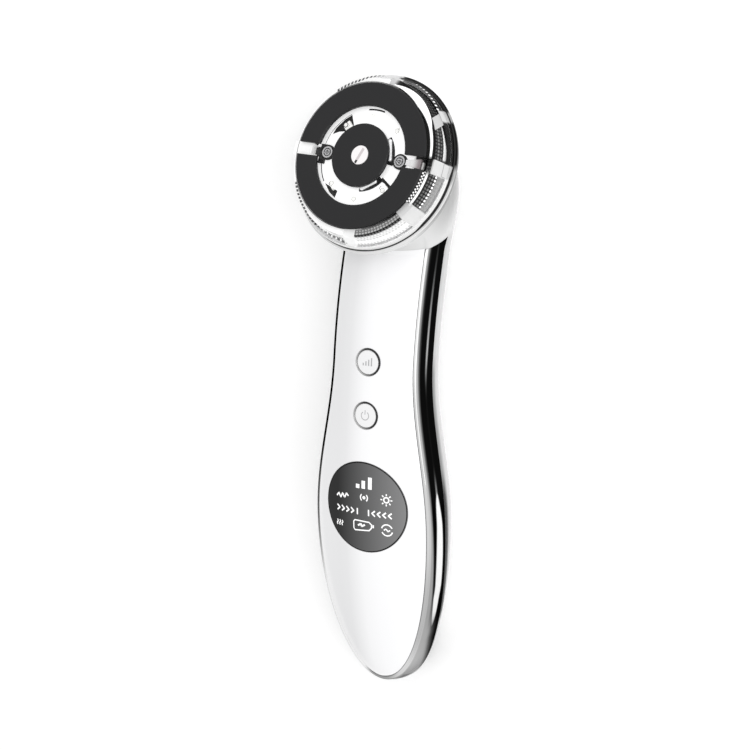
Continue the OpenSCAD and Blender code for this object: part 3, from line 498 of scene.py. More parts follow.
# the cells left open round the charging slot: rows to each side of the tip, and columns of the depth
tip, reach_rows, c0, c1 = len(half) - 1, 30, 20, 54
cells = (tip - reach_rows, tip + reach_rows, c0, c1)
skip = np.zeros((len(around) - 1, len(depth) - 1), bool)
skip[tip - reach_rows:tip + reach_rows, c0:c1] = True
band.add(outside, skip=skip, uv=mapped(around[:, None] / I_TOP, depth[None]))
band.add(inside, skip=skip, flip=True)
for end, flip in ((0, True), (-1, False)):
    band.add(np.stack([outside[end], inside[end]]), flip=flip)
    band.add(np.stack([outside[:, end], inside[:, end]]), flip=not flip)
edge, edge_in = window_edge(outside, cells), window_edge(inside, cells)
away = edge[:, [0, 2]] - [0, PORT_Z]
angle = np.arctan2(away[:, 1], away[:, 0])
reach = slot_reach(angle, PORT_W / 2 + SLOT_GAP, PORT_H / 2 + SLOT_GAP)
lip, size = reach + SLOT_ROUND, np.hypot(*away.T)
s = np.linspace(1, 0, 7)[:, None]
turn = np.linspace(0, np.pi / 2, 5)[1:, None]
spread = np.concatenate([lip + (size - lip) * s, reach + SLOT_ROUND * (1 - np.sin(turn))])
rays = band_at(spread * np.cos(angle), PORT_Z + spread * np.sin(angle))
rays[len(s):, :, 1] += SLOT_ROUND * (1 - np.cos(turn))
mouth = rays[-1:].copy()
mouth[..., 1] = edge_in[:, 1].max()
lining = np.concatenate([rays, mouth, edge_in[None]])
band.add(lining, closed=True, uv=mapped(np.zeros(lining.shape[:2]), LINING_SHARE))
chrome_ring = band.build(
    "chrome_band", chrome_parts[0], "housing", replaces=["trim_band"], slot="chrome_band"
)
# painted reflection in the colour, and half of it again as a painted glow
paint(chrome_ring, tone=band_share, glow=lambda s, q: 0.5 * painted_band_light(s, q) ** 2.2)

# Rear shell with neck and cup
# One glossy white moulding: the handle's back, the neck, and the round cup that carries the head.
# The parting line on the neck runs down behind the band's slanted end.
TURN = np.radians(-4)
HEAD_UP = np.array([0, np.cos(TILT), -np.sin(TILT)])
HEAD_OUT = np.array([0, np.sin(TILT), np.cos(TILT)])
HEAD_MID = np.array([0, HEAD_Y - MID_Y, FACE_Z])


def rim_level(bearing):
    """Level round the head's lower rim: white, with a painted reflection of the clear window dark from
    one to six o'clock, and grey where two frosted blocks reach down to it."""
    dark = between(bearing, 3.5, 84, 3)
    frost = np.maximum(between(bearing, -4.6, 4, 0.8), between(bearing, 33.2, 41.8, 0.8))
    level = 0.95 - 0.9 * dark
    return level + (0.78 - level) * frost


def shell_painted_light(i, j, p):
    """White gloss with painted shade and painted reflection. It greys with painted shade on the nose's
    corners and on the flanks of the neck and cup, and with a painted reflection of the dark plating
    close under the band; the cup's lip is painted dark with a reflection of the clear window."""
    u, under = i / I_TOP, np.abs(j) - J_REAR
    nose = 0.52 * np.exp(-(((u - 0.14) / 0.045) ** 2)) * (1 - 0.4 * soft(under, 0.6, 0.8))
    mirrored = soft(u, 0.24, 0.04) * (1 - 0.64 * soft(u, 0.46, 0.1) - 0.3 * soft(u, 0.7, 0.05))
    grip = 0.86 - nose - 0.76 * mirrored * (1 - soft(under, 0.45, 0.8)) + 0.1 * soft(under, 2.5, 2)
    x, up, out = p[..., 0], (p - HEAD_MID) @ HEAD_UP, (p - HEAD_MID) @ HEAD_OUT
    neck = 0.93 - 0.36 * soft(np.abs(x), 21.5, 13) * soft(p[..., 1], 45, 20)
    bearing = np.degrees(np.arctan2(up, x) - TURN)
    neck = neck + (rim_level(bearing) - neck) * soft(out, -10.3, 0.5)
    level = grip + (neck - grip) * soft(i, I_TOP, 2)
    return np.clip((level**2.2 - 0.05) / 1.1, 0.01, 0.86)


# The shell's painted tone carries painted shade and painted reflection.
shell_parts = new_material("shell_gloss", Specular_IOR_Level=0.16, Coat_Weight=0.12, Coat_Roughness=0.05)
painted(shell_parts, "tone", "Base Color")
fine_texture(shell_parts, 260, 0.06, (0.16, 0.24))


def own_tone(tone, same):
    """For a piece whose map holds its tone, twice."""
    return tone


def thick_shell(skin, i, j, closed):
    """The shell's outer and inner surface over stations i and places j, one wall apart, and strips
    that close its edges. The outer surface's map holds its tone, painted shade and reflection."""
    outside, inside = shell_point(i, j, 0), shell_point(i, j, WALL)
    level = shell_painted_light(i, j, outside)
    skin.add(outside, closed=closed, uv=mapped(level, level))
    skin.add(inside, closed=closed, flip=True)
    skin.add(np.stack([outside[0], inside[0]]), closed=closed, flip=True)
    skin.add(np.stack([outside[-1], inside[-1]]), closed=closed, uv=mapped(level, level)[[-1, -1]])
    if not closed:
        skin.add(np.stack([outside[:, 0], inside[:, 0]]))
        skin.add(np.stack([outside[:, -1], inside[:, -1]]), flip=True)


casing = Skin()
handle = np.concatenate([np.linspace(0, N_NOSE, 97), np.linspace(N_NOSE, I_TOP, 153)[1:]])
back = np.linspace(J_REAR, J_END, 49)
thick_shell(casing, handle[:, None], np.concatenate([back, -back[-2::-1]])[None], False)
neck = np.concatenate([np.linspace(I_TOP, I_TURN, 73), np.linspace(I_TURN, I_RIM, 41)[1:]])
side = np.concatenate([np.linspace(0, J_FRONT, 19), np.linspace(J_FRONT, J_REAR, 17)[1:], back[1:]])
thick_shell(casing, neck[:, None], np.concatenate([side, -side[-2:0:-1]])[None], True)
rear = casing.build("rear_casing", shell_parts[0], "housing", replaces=["rear_shell"], slot="white_shell")
paint(rear, tone=own_tone)

# Display
# A round smoked acrylic window, glued flush into the panel and curved like it. The signs behind
# it are printed masks that light up white; they are kept to plain pictograms.
EDGE_ROUND, PANE_T, INK_LIFT = 0.15, 1.0, 0.03
window_parts = new_material("smoked_acrylic", Roughness=0.1, Specular_IOR_Level=0.25)
# The window's colour is painted reflection: nearly black at the left, growing grey towards the right.
painted_light_ramp(window_parts, 0.0149, ((0.0, 0.004), (0.16, 0.012), (0.4, 0.075), (0.7, 0.155), (1.0, 0.23)))
angle = np.linspace(0, 2 * np.pi, 129)[:-1]
turn = np.linspace(0, np.pi / 2, 4)[1:]
flat = np.linspace(0, DISPLAY_R - EDGE_ROUND, 24)
radius = np.concatenate([flat, DISPLAY_R - EDGE_ROUND * (1 - np.sin(turn))])[:, None]
sink = np.concatenate([0 * flat, -EDGE_ROUND * (1 - np.cos(turn))])[:, None]
disc = on_panel(radius * np.cos(angle), DISPLAY_Y + radius * np.sin(angle), sink)
pane = Skin()
pane.add(np.concatenate([disc, disc[::-1] - [0, 0, PANE_T]]), closed=True)
pane.build("display_pane", window_parts[0], "housing", replaces=["display_window"], slot="smoked_window")


def stroke(path, width, lay, steps=10):
    """A flat ribbon of constant width along a path of points; lay puts it on its surface."""
    path = np.asarray(path, float)
    length = np.concatenate([[0], np.cumsum(np.hypot(*np.diff(path, axis=0).T))])
    along = np.unique(np.concatenate([np.linspace(0, length[-1], steps), length]))
    mid = np.stack([np.interp(along, length, path[:, k]) for k in (0, 1)], -1)
    run = np.gradient(mid, axis=0)
    run /= np.maximum(np.hypot(run[:, 0], run[:, 1]), 1e-9)[:, None]
    side = np.stack([-run[:, 1], run[:, 0]], -1) * width / 2
    ribbon = np.stack([mid - side, mid + side], 1)
    return lay(ribbon[..., 0], ribbon[..., 1])


def draw(skin, lines, lay, steps=10):
    """Adds the ribbons of several lines, each a path and its width, to a skin."""
    for path, width in lines:
        skin.add(stroke(path, width, lay, steps))
    return skin


def arc(cx, cy, r, start, end, count=17):
    """Points along a circle's arc, angles in degrees."""
    a = np.radians(np.linspace(start, end, count))
    return np.stack([cx + r * np.cos(a), cy + r * np.sin(a)], -1)


def lay_display(x, y):
    """From the display's own middle to just above the window."""
    return on_panel(x, DISPLAY_Y + y, INK_LIFT)


def run_of(count, start, step, shape):
    """The same small path set down several times in a row."""
    return [[(x + start + n * step, y) for x, y in shape] for n in range(count)]


# each sign is a path and the width of its line; first three level bars
FINE, LINE = 0.42, 0.5
BARS = ((-2.06, 6.2, 7.55, 1.35), (0.06, 6.3, 8.9, 1.3), (2.47, 6.4, 10.3, 1.35))
signs = [([(x, low), (x, high)], width) for x, low, high, width in BARS]
# pulses, waves from a point, and a lamp with its rays
pulses = [(-10.6, 2.2), (-9.7, 3.3), (-8.9, 1.9), (-8.1, 3.5), (-7.3, 2.1), (-6.5, 3.7), (-5.7, 2.9)]
point, lamp = (0.33, 3.36), (8.2, 3.7)
signs += [(pulses, LINE), (arc(*point, 0.3, 0, 370, 33), 0.5), (arc(*lamp, 0.85, 0, 370, 33), 0.45)]
signs += [(arc(*point, 1.3, start, start + 100), FINE) for start in (-50, 130)]
rays = np.radians(np.arange(0, 360, 45))
signs += [([(lamp[0] + r * np.cos(a), lamp[1] + r * np.sin(a)) for r in (1.35, 2.0)], 0.4) for a in rays]
# outward and inward arrows, each row with a bar
arrows = run_of(4, -10.4, 1.9, [(0, -0.7), (1.1, -1.6), (0, -2.5)]) + [[(-2.2, -0.5), (-2.2, -2.6)]]
arrows += run_of(4, 3.2, 1.9, [(1.1, -0.5), (0, -1.4), (1.1, -2.3)]) + [[(2.0, -0.4), (2.0, -2.5)]]
signs += [(path, LINE) for path in arrows]
# warmth, a battery with its bolt, and a ring of two arcs with a wave
signs += [(path, FINE) for path in run_of(3, -10.7, 1.0, [(0.3, -7.6), (0, -7.0), (0.5, -6.4), (0.2, -5.8)])]
battery = [(-3.2, -8.0), (2.1, -7.4), (3.0, -6.4), (3.0, -5.3), (2.1, -4.6), (-3.2, -4.6), (-3.7, -5.2)]
battery += [(-3.7, -7.4), (-3.2, -8.0), (-2.6, -7.93)]
bolt = [(-2.1, -6.3), (-0.9, -5.6), (-0.7, -6.4), (0.6, -5.7)]
signs += [(battery, FINE), ([(3.6, -6.3), (3.6, -5.3)], 0.55), (bolt, 0.6)]
signs += [(arc(8.36, -6.3, 1.85, start, start + 140), FINE) for start in (25, 205)]
signs += [([(7.3, -6.4), (8.0, -5.9), (8.7, -6.7), (9.4, -6.2)], FINE)]
lit_white = finish(
    "lit_white", 900, 0.05, Base_Color=(0.9, 0.9, 0.9, 1), Roughness=0.4,
    Emission_Color=(1, 1, 1, 1), Emission_Strength=0.25,
)
draw(Skin(), signs, lay_display).build("display_signs", lit_white, "housing")
black_ink = finish(
    "black_ink", 1500, 0.1, (0.4, 0.5), Base_Color=(0.008, 0.008, 0.008, 1), Specular_IOR_Level=0.1
)
border = [(arc(0, 0, DISPLAY_R - 0.16, 0, 360, 129), 0.3)]
draw(Skin(), border, lay_display, 257).build("display_border", black_ink, "housing")

# Buttons
# Two small white domed caps, each in a thin grey ring pressed into the panel. A cap slides down
# onto the plunger of a switch on the board, which springs it back.
def revolve(profile, y, count=96):
    """A profile of (radius, height) points turned once about the upright line at x 0 and y."""
    a = np.linspace(0, 2 * np.pi, count + 1)[:-1]
    r, z = np.asarray(profile, float).T[:, :, None]
    return np.stack(np.broadcast_arrays(r * np.cos(a), y - MID_Y + r * np.sin(a), z), -1)


CAP_PROUD, CAP_ROUND, DOME_R, FLANGE_R, FLANGE_T = 0.15, 0.25, 40.0, RING_OUT + 0.5, 0.6
RING_DEPTH, RING_FOOT, STOP_GAP = 2.9, RING_OUT + 0.7, 0.3
SWITCH_TOP, PLUNGER_R, PLUNGER_H = 24.6, 1.75, 1.6


def dome_height(top, off):
    """Height of a cap's dome at a distance from its middle: a circle of radius DOME_R."""
    return top - DOME_R + np.sqrt(DOME_R**2 - off**2)


def lay_on_cap(y, top):
    """A function that puts a sign's points on the dome of the cap at y, just above it."""
    return lambda x, v: np.stack([x, y - MID_Y + v, dome_height(top, np.hypot(x, v)) + 0.02], -1)


def ring_painted_reflection(u, v):
    """The polished ring's painted reflection: dark towards the light side and grey on the other."""
    return 0.03 + 0.42 * soft(np.cos(2 * np.pi * (u - 0.56)), 0.25, 1.3) + 0 * v


button_white = finish(
    "button_white", 900, 0.05, (0.22, 0.3),
    Base_Color=(0.86, 0.86, 0.865, 1), Coat_Weight=0.5, Coat_Roughness=0.08,
)
ring_parts = new_material("ring_grey", Metallic=0.6, Specular_IOR_Level=0.3)
painted(ring_parts, "tone", "Base Color")
fine_texture(ring_parts, 1500, 0.05, (0.2, 0.3))
mark_grey = finish("mark_grey", 1500, 0.04, (0.35, 0.45), Base_Color=(0.42, 0.42, 0.43, 1))
level_sign = [([(n - 1.5, -1.1), (n - 1.5, 0.6 * n - 0.3)], FINE) for n in range(4)]
power_sign = [(arc(0, 0, 1.35, 125, 415, 33), 0.26), ([(0, 0.35), (0, 1.75)], 0.26)]
for name, y, sign in (("level", LEVEL_Y, level_sign), ("power", POWER_Y, power_sign)):
    front = float(panel_height(0.0, y))
    top, ring_low = front + CAP_PROUD, front - RING_DEPTH
    flange = ring_low - STOP_GAP
    dome = np.linspace(0, BUTTON_R - CAP_ROUND, 14)
    profile = np.concatenate([
        np.stack([dome, dome_height(top, dome)], -1),
        arc(BUTTON_R - CAP_ROUND, dome_height(top, BUTTON_R) - CAP_ROUND, CAP_ROUND, 75, 0, 5),
        [[BUTTON_R, flange], [FLANGE_R, flange], [FLANGE_R, flange - FLANGE_T]],
        [[PLUNGER_R, flange - FLANGE_T], [PLUNGER_R, SWITCH_TOP + PLUNGER_H], [0, SWITCH_TOP + PLUNGER_H]],
    ])
    cap = Skin()
    cap.add(revolve(profile, y), closed=True, flip=True)
    cap.build(name + "_cap", button_white, name + "_key", replaces=[name + "_button"], slot="button_white")
    rim, inner = front + CAP_PROUD / 2, BUTTON_R + BUTTON_FIT
    wide = (RING_OUT - inner) / 2
    profile = np.concatenate([
        arc(inner + wide, rim - wide, wide, 180, 0, 9),
        [[RING_OUT, ring_low + FLANGE_T], [RING_FOOT, ring_low + FLANGE_T], [RING_FOOT, ring_low]],
        [[inner, ring_low], [inner, rim - wide]],
    ])
    turned = revolve(profile, y)
    share = np.arange(turned.shape[1]) / turned.shape[1]
    ring = Skin()
    ring.add(turned, closed=True, flip=True, uv=mapped(share[None], np.zeros((len(turned), 1))))
    bezel = ring.build(
        name + "_bezel", ring_parts[0], "housing", replaces=[name + "_ring"], slot="button_ring"
    )
    paint(bezel, tone=ring_painted_reflection)
    draw(Skin(), sign, lay_on_cap(y, top)).build(name + "_sign", mark_grey, name + "_key")

# Charging socket
# A drawn steel shell let into the band's slot, with a black tongue that carries two rows of gilt
# contacts. It is soldered to a small board inside.
STEEL = finish("brushed_steel", 2500, 0.12, (0.2, 0.34), Base_Color=(0.62, 0.62, 0.63, 1), Metallic=1.0)
BLACK = finish("black_plastic", 1800, 0.2, (0.42, 0.6), Base_Color=(0.012, 0.012, 0.013, 1))
GILT = finish("gilt_contacts", 2500, 0.1, (0.2, 0.3), Base_Color=(0.83, 0.6, 0.27, 1), Metallic=1.0)
PORT_OUT, PORT_LEN, PORT_BACK, SHELL_T = 1.0, 7.3, 0.8, 0.3
TONGUE_T, TONGUE_IN, CONTACT_PITCH, CONTACT_W, CONTACTS = 0.7, 1.4, 0.5, 0.28, 12


def port_rings(steps, count=72):
    """Loops of a round-ended slot, walked by angle, as rows of one surface. Each step is how far the
    slot is smaller than the shell's outside, and its depth from the mouth; None closes the end."""
    a = np.linspace(0, 2 * np.pi, count + 1)[:-1]
    rows = []
    for less, deep in steps:
        w, h = (0.01, 0.01) if less is None else (PORT_W - less, PORT_H - less)
        r = slot_reach(a, w / 2, h / 2)
        y = np.full_like(a, deep - PORT_OUT - MID_Y)
        rows.append(np.stack([r * np.cos(a), y, PORT_Z + r * np.sin(a)], -1))
    return np.stack(rows)


socket = Skin()
bore = 2 * SHELL_T
steps = [(None, PORT_LEN), (0, PORT_LEN), (0, 0.12), (0.08, 0.035), (0.24, 0), (bore - 0.24, 0)]
steps += [(bore - 0.06, 0.04), (bore, 0.14), (bore, PORT_LEN - PORT_BACK), (None, PORT_LEN - PORT_BACK)]
socket.add(port_rings(steps), closed=True, flip=True)
socket.build("charging_socket", STEEL, "housing", replaces=["charging_port"], slot="steel")
contacts = Skin()
for side in (-1, 1):
    for n in range(CONTACTS):
        x, z = (n - (CONTACTS - 1) / 2) * CONTACT_PITCH, PORT_Z + side * (TONGUE_T / 2 + 0.015)
        y = np.array([TONGUE_IN + 0.4, PORT_LEN - 1.0]) - MID_Y - PORT_OUT
        edges = x + np.array([-0.5, 0.5]) * CONTACT_W
        strip = np.stack(np.broadcast_arrays(edges[None], y[:, None], z), -1)
        contacts.add(strip, flip=side < 0)
contacts.build("tongue_contacts", GILT, "housing")

# Head
# The treatment head: a white collar, a beaded light guide, a white reflector with its lamps, and
# three dark electrodes set in a clear cap. The whole pattern sits four degrees round from upright.
def on_head(r, azimuth, h):
    """Cylinder coordinates of the head's pattern: radius, angle in degrees, height over the face."""
    a = np.radians(azimuth) + TURN
    r, a, h = np.broadcast_arrays(np.asarray(r, float), a, np.asarray(h, float))
    x, u = r * np.cos(a), r * np.sin(a)
    return HEAD_MID + x[..., None] * [1, 0, 0] + u[..., None] * HEAD_UP + h[..., None] * HEAD_OUT


def signed_angle(a):
    """An angle in degrees, brought between -180 and 180."""
    return (np.asarray(a) + 180) % 360 - 180


CAP_FRONT, CAP_WALL, CAP_SIDE, COLLAR_TOP = -0.3, 1.6, 0.8, -7.9
PLATE_R, SHOULDER_R, SHOULDER_H, FOOT_R = 22.7, 25.1, -1.1, 26.8


def wall_radius(h):
    """Outer radius of the cap's tapered wall at a height over the face."""
    return SHOULDER_R + (FOOT_R - SHOULDER_R) * (SHOULDER_H - h) / (SHOULDER_H - COLLAR_TOP)


# Light guide
# A ring moulded with rows of round beads lies close under the cap's wall and spreads the light of
# the lamps below. Six frosted blocks cross it.
BEADS, ROWS, BEAD_SWELL = 144, 5, 0.12
GUIDE_HIGH, GUIDE_LOW, GUIDE_GAP, GUIDE_T = -1.95, -7.75, 0.85, 1.6
# the angle each block stands at, its width, the radius where it starts, and its tone, painted shade
BLOCKS = (
    (-84.9, 3.9, 21.0, 0.8), (-36.3, 5.2, 21.0, 0.62), (-0.7, 4.3, 24.3, 0.6),
    (28.8, 4.0, 24.9, 0.5), (76.3, 3.9, 21.0, 0.56), (180, 4.2, 18.6, 0.86),
)
# painted light levels: a row for each sector between blocks, a column for the top face and for each row of
# beads
BODY_LEVEL = np.array([
    [0.93, 0.95, 0.95, 0.92, 0.95, 0.95],
    [0.42, 0.1, 0.72, 0.86, 0.88, 0.9],
    [0.2, 0.16, 0.16, 0.2, 0.52, 0.56],
    [0.12, 0.12, 0.22, 0.18, 0.2, 0.14],
    [0.08, 0.08, 0.13, 0.13, 0.1, 0.06],
    [0.93, 0.95, 0.95, 0.92, 0.95, 0.95],
])
BEAD_LEVEL = np.array([
    [0.93, 0.8, 0.9, 0.35, 0.75, 0.95],
    [0.66, 0.36, 0.86, 0.74, 0.95, 0.76],
    [0.32, 0.36, 0.46, 0.97, 0.55, 0.58],
    [0.2, 0.3, 0.45, 0.35, 0.3, 0.14],
    [0.12, 0.14, 0.26, 0.28, 0.3, 0.12],
    [0.93, 0.8, 0.9, 0.35, 0.75, 0.95],
])


def lean(a):
    """How far the blocks lean round from the shoulder to the foot, in degrees, by their angle."""
    return np.interp(signed_angle(a), [-150, -85, -36, 0, 29, 76, 150], [0, -4.6, 0, 0.3, 8.7, 9, 0])


def guide_painted_light(u, v):
    """A painted light and reflection level for the body and the beads of each sector and row; the
    beads' level fills the middle of each cell. A painted highlight, a bright gleam, runs along the
    lower rows of one sector, narrowing to its end."""
    a = signed_angle(u * 360)
    sector = np.searchsorted([block[0] for block in BLOCKS[:-1]], a - lean(a) * np.clip(v, 0, 1))
    row = np.floor(np.clip(v, -0.1, 0.999) * ROWS).astype(int) + 1
    dome = np.sqrt(np.abs(np.sin(np.pi * u * BEADS) * np.sin(np.pi * v * ROWS)))
    body, bead = BODY_LEVEL[sector, row], BEAD_LEVEL[sector, row]
    level = body + (bead - body) * soft(dome, 0.72, 0.2)
    gleam = between(a, 6, 31, 2) * between(v, 0.66, 0.7 + 0.25 * np.clip((31 - a) / 25, 0, 1), 0.05)
    return (level + (0.97 - level) * gleam) ** 2.2


# The guide's painted light feeds its colour and a glow as well.
guide_parts = new_material("light_guide", IOR=1.2, Specular_IOR_Level=0.1, Emission_Strength=0.4)
painted(guide_parts, "tone", "Base Color", "Emission Color")
fine_texture(guide_parts, 1500, 0.08, (0.22, 0.4))
turns = np.linspace(0, 360, BEADS * 10 + 1)[:-1]
down = np.linspace(0, 1, ROWS * 10 + 1)[:, None]
height = GUIDE_HIGH + (GUIDE_LOW - GUIDE_HIGH) * down
swell = BEAD_SWELL * np.sqrt(np.abs(np.sin(np.pi * turns / 360 * BEADS) * np.sin(np.pi * down * ROWS)))
face_r = wall_radius(height) - GUIDE_GAP - BEAD_SWELL
beads = on_head(face_r + swell, turns, height)
ledge = np.linspace(1, 0, 21)[:, None]
behind = np.concatenate([beads[-1:], on_head(face_r[::-1] - GUIDE_T, turns, height[::-1])])
guide = Skin()
guide.add(beads, closed=True, uv=mapped(turns / 360, down))
top_face = on_head(face_r[0] - GUIDE_T * ledge, turns, GUIDE_HIGH)
guide.add(top_face, closed=True, uv=mapped(turns / 360, -0.4 * ledge))
guide.add(behind, closed=True, uv=mapped(turns / 360, np.full((len(behind), 1), -0.1)))
beaded = guide.build("beaded_guide", guide_parts[0], "housing", 60, ["prism_ring"], "light_ring")
paint(beaded, tone=guide_painted_light)

# Each block's painted shade tone feeds both its colour and a glow.
frost_parts = new_material("frosted_plastic", Alpha=0.93, Emission_Strength=0.25)
painted(frost_parts, "tone", "Base Color", "Emission Color")
fine_texture(frost_parts, 1400, 0.4, (0.35, 0.6))
blocks = Skin()
for a, width, start, level in BLOCKS:
    rows = np.array([
        (start, GUIDE_HIGH), (24.95, -1.6), (25.0, -1.65), (25.2, -1.85), (26.62, -7.5), (26.55, COLLAR_TOP),
        (24.97, COLLAR_TOP), (start, COLLAR_TOP), (start, GUIDE_HIGH),
    ])
    down = np.clip((SHOULDER_H - rows[:, 1:]) / (SHOULDER_H - COLLAR_TOP), 0, 1)
    bearing = a + lean(a) * down + np.degrees(np.arcsin(np.linspace(-1, 1, 9) * width / 2 / rows[:, :1]))
    even = np.full((len(rows), 9, 2), level)
    blocks.add(on_head(rows[:, :1], bearing, rows[:, 1:]), uv=even)
    for end in (0, -1):
        side = on_head(rows[:, 0], bearing[:, end], rows[:, 1])
        blocks.add(np.stack([side[:4], side[[7, 6, 5, 4]]]), flip=end == 0, uv=even[:2, :4])
frosted = blocks.build("frosted_blocks", frost_parts[0], "housing", replaces=["light_blocks"], slot="frosted")
paint(frosted, tone=own_tone)

# Clear cap
# A polished clear moulding drops over the head. Its flat front carries the electrodes. Its
# rounded shoulder and wall carry a painted highlight on one side and painted dark reflection at
# the edge, and the painted tone feeds a glow as well.
def cap_painted_light(u, v):
    """Light and dark parts of the cap, painted light and reflection, and frosted ones, each 0 to 1.
    v counts its profile: 0 the middle, 1 the plate's edge, 2 the shoulder's foot, 4 the wall's foot.
    A painted highlight, a white crescent, lies on the shoulder at the right and narrows to a line;
    painted reflections, squares and a line, run on below it; a string of painted light dots lies on
    the wall beside it; rows of dark dashes, seen through the edge, follow the left side; the wall's
    foot is painted dark at the right with reflection, and light elsewhere."""
    a = signed_angle(u * 360)
    wide = soft(a, 33, 12)
    start = np.interp(a, [0, 26, 35, 46, 75], [1.3, 1.28, 1.2, 1.07, 1.12])
    stop = np.interp(a, [5, 26, 34, 47, 60, 73], [1.5, 1.56, 1.8, 1.98, 1.6, 1.2])
    crescent = between(a, 5, 75, 3) * between(v, start, stop, 0.06)
    shade = between(a, 4, 37, 4) * between(v, 1.03, 2.05, 0.04) * (1 - wide)
    shade = np.maximum(shade, between(a, 44, 74, 4) * between(v, stop, 2.1, 0.05)) * (1 - crescent)
    squares = between(a, -31, -6, 1.5) * between(v, 1.04, 1.34, 0.03)
    check = soft(np.sin(2 * np.pi * a / 2.6) * np.sin(2 * np.pi * (v - 1.04) / 0.3), 0.1, 0.5)
    line = between(a, -30, -7, 6) * between(v, 1.4, 1.62, 0.05)
    chain = np.interp(a, [-153, -129, -112, -92], [1.1, 1.32, 1.78, 2.97])
    chain = np.where(a > 0, np.interp(a, [85, 105, 123], [1.85, 1.26, 1.12]), chain)
    tall = np.interp(a, [-122, -98, 80], [0.11, 0.45, 0.11])
    dashes = np.maximum(between(a, -152, -91, 2), between(a, 86, 126, 2))
    dashes *= between(v, chain - tall, chain + tall, 0.05)
    dashes *= soft(np.sin(2 * np.pi * (a / 3.1 + 1.2 * (v - chain))), -0.45, 0.5)
    string = np.interp(a, [43, 52, 62, 70], [3.42, 3.6, 3.86, 3.93])
    dots = between(a, 41.4, 71.5, 1) * between(v, string - 0.14, string + 0.14, 0.05)
    dots *= soft(np.cos(2 * np.pi * (a - 42.8) / 3.4), 0.3, 0.5)
    foot = between(a, 4, 83, 3) * (1 - between(a, 32.6, 42.4, 1)) * between(v, 3.4, 4.2, 0.15)
    lip = between(v, 3.86, 4.3, 0.1) * (1 - between(a, 3, 84, 3))
    frost = (between(a, 33.2, 41.8, 0.8) + between(a, -4.6, 4, 0.8)) * between(v, 3.3, 4.3, 0.1)
    groove = between(v, 0.995, 1.04, 0.015)
    light = np.maximum.reduce([crescent, squares * check, line, 0.55 * lip * (1 - frost), dots])
    dark = np.maximum.reduce([shade, foot * (1 - dots), squares * (1 - check), 0.95 * dashes, groove])
    return light, dark, frost


def cap_tone(u, v):
    """Tone of the plastic where it shows: white in the painted light parts, black in the painted dark ones.
    """
    light, dark, frost = cap_painted_light(u, v)
    return np.where(frost > 0.5, 0.55, 0.94 * light / np.maximum(light + dark, 1e-3) + 0.008)


def cap_cover(u, v):
    """How far the cap hides what lies behind it: next to nothing but for its light and dark parts."""
    light, dark, frost = cap_painted_light(u, v)
    return np.clip(0.012 + np.maximum.reduce([light, 0.93 * dark, 0.9 * frost]), 0, 0.98)


# The cap's painted light feeds its colour, its cover and a glow.
clear_parts = new_material("clear_plastic", IOR=1.2, Specular_IOR_Level=0.2, Emission_Strength=0.3)
painted(clear_parts, "tone", "Base Color", "Emission Color")
painted(clear_parts, "cover", "Alpha")
fine_texture(clear_parts, 300, 0.02, (0.03, 0.07))
back = CAP_FRONT - CAP_WALL
plate = [(0, CAP_FRONT, 0), (9.0, CAP_FRONT, 0.4), (PLATE_R - 0.12, CAP_FRONT, 0.98), (PLATE_R, CAP_FRONT, 1)]
t = np.linspace(0, 1, 41)[1:]
knee_r = PLATE_R + (SHOULDER_R - PLATE_R) * np.sin(t * np.pi / 2)
knee_h = SHOULDER_H + (CAP_FRONT - SHOULDER_H) * np.cos(t * np.pi / 2) ** 1.5
knee = np.stack([knee_r, knee_h, 1 + t], -1)
t = np.linspace(0, 1, 61)[1:]
low = SHOULDER_H + (COLLAR_TOP - SHOULDER_H) * t
wall = np.stack([wall_radius(low), low, 2 + 2 * t], -1)
inside = [(FOOT_R - CAP_SIDE, COLLAR_TOP, 5.0), (SHOULDER_R - CAP_SIDE, back, 6.0), (0, back, 7.0)]
r, h, v = np.concatenate([plate, knee, wall, inside]).T[:, :, None]
turns = np.linspace(0, 360, 1081)[:-1]
cap_skin = Skin()
cap_skin.add(on_head(r, turns, h), closed=True, flip=True, uv=mapped(turns / 360, v))
cap = cap_skin.build(
    "polished_cap", clear_parts[0], "housing", sharp=30, replaces=["clear_cap"], slot="clear"
)
paint(cap, tone=cap_tone, cover=cap_cover)

# Electrodes, lamps and reflector
# Three dark plated electrodes lie in the cap. Under them a glossy white reflector lets the lamps
# through; a polished arm crosses it at one side and a black clip at the other.
def dress(names, material):
    """Gives solids of the frame a material; their meshes stay as they are."""
    for name in names.split():
        for place in nodes[name].material_slots:
            place.material = material


arm_parts = new_material("polished_arm", Specular_IOR_Level=0.6, Coat_Weight=0.5)
fine_texture(arm_parts, 900, 0.05, (0.1, 0.2))
# The arm's colour is a painted highlight and shade: white on its inner part, darkening through pink to near
# black at its outer end.
arm, tree, links, shader = arm_parts
place = tree.new("ShaderNodeTexCoord")
away, facing = tree.new("ShaderNodeVectorMath"), tree.new("ShaderNodeVectorMath")
away.operation, facing.operation = "SUBTRACT", "DOT_PRODUCT"
away.inputs[1].default_value = HEAD_MID / 1000
facing.inputs[1].default_value = (on_head(1, 0, 0) - HEAD_MID) * 1000 / PLATE_R
shade = tree.new("ShaderNodeValToRGB")
shade.color_ramp.elements.new(0.86)
ARM_SHADE_STOPS = ((0.78, (0.9, 0.9, 0.9, 1)), (0.86, (0.35, 0.3, 0.31, 1)), (0.98, (0.05, 0.045, 0.045, 1)))
for stop, (at, colour) in zip(shade.color_ramp.elements, ARM_SHADE_STOPS):
    stop.position, stop.color = at, colour
links.new(place.outputs["Object"], away.inputs[0])
links.new(away.outputs["Vector"], facing.inputs[0])
links.new(facing.outputs["Value"], shade.inputs["Fac"])
links.new(shade.outputs["Color"], shader.inputs["Base Color"])
dress("side_arm", arm)
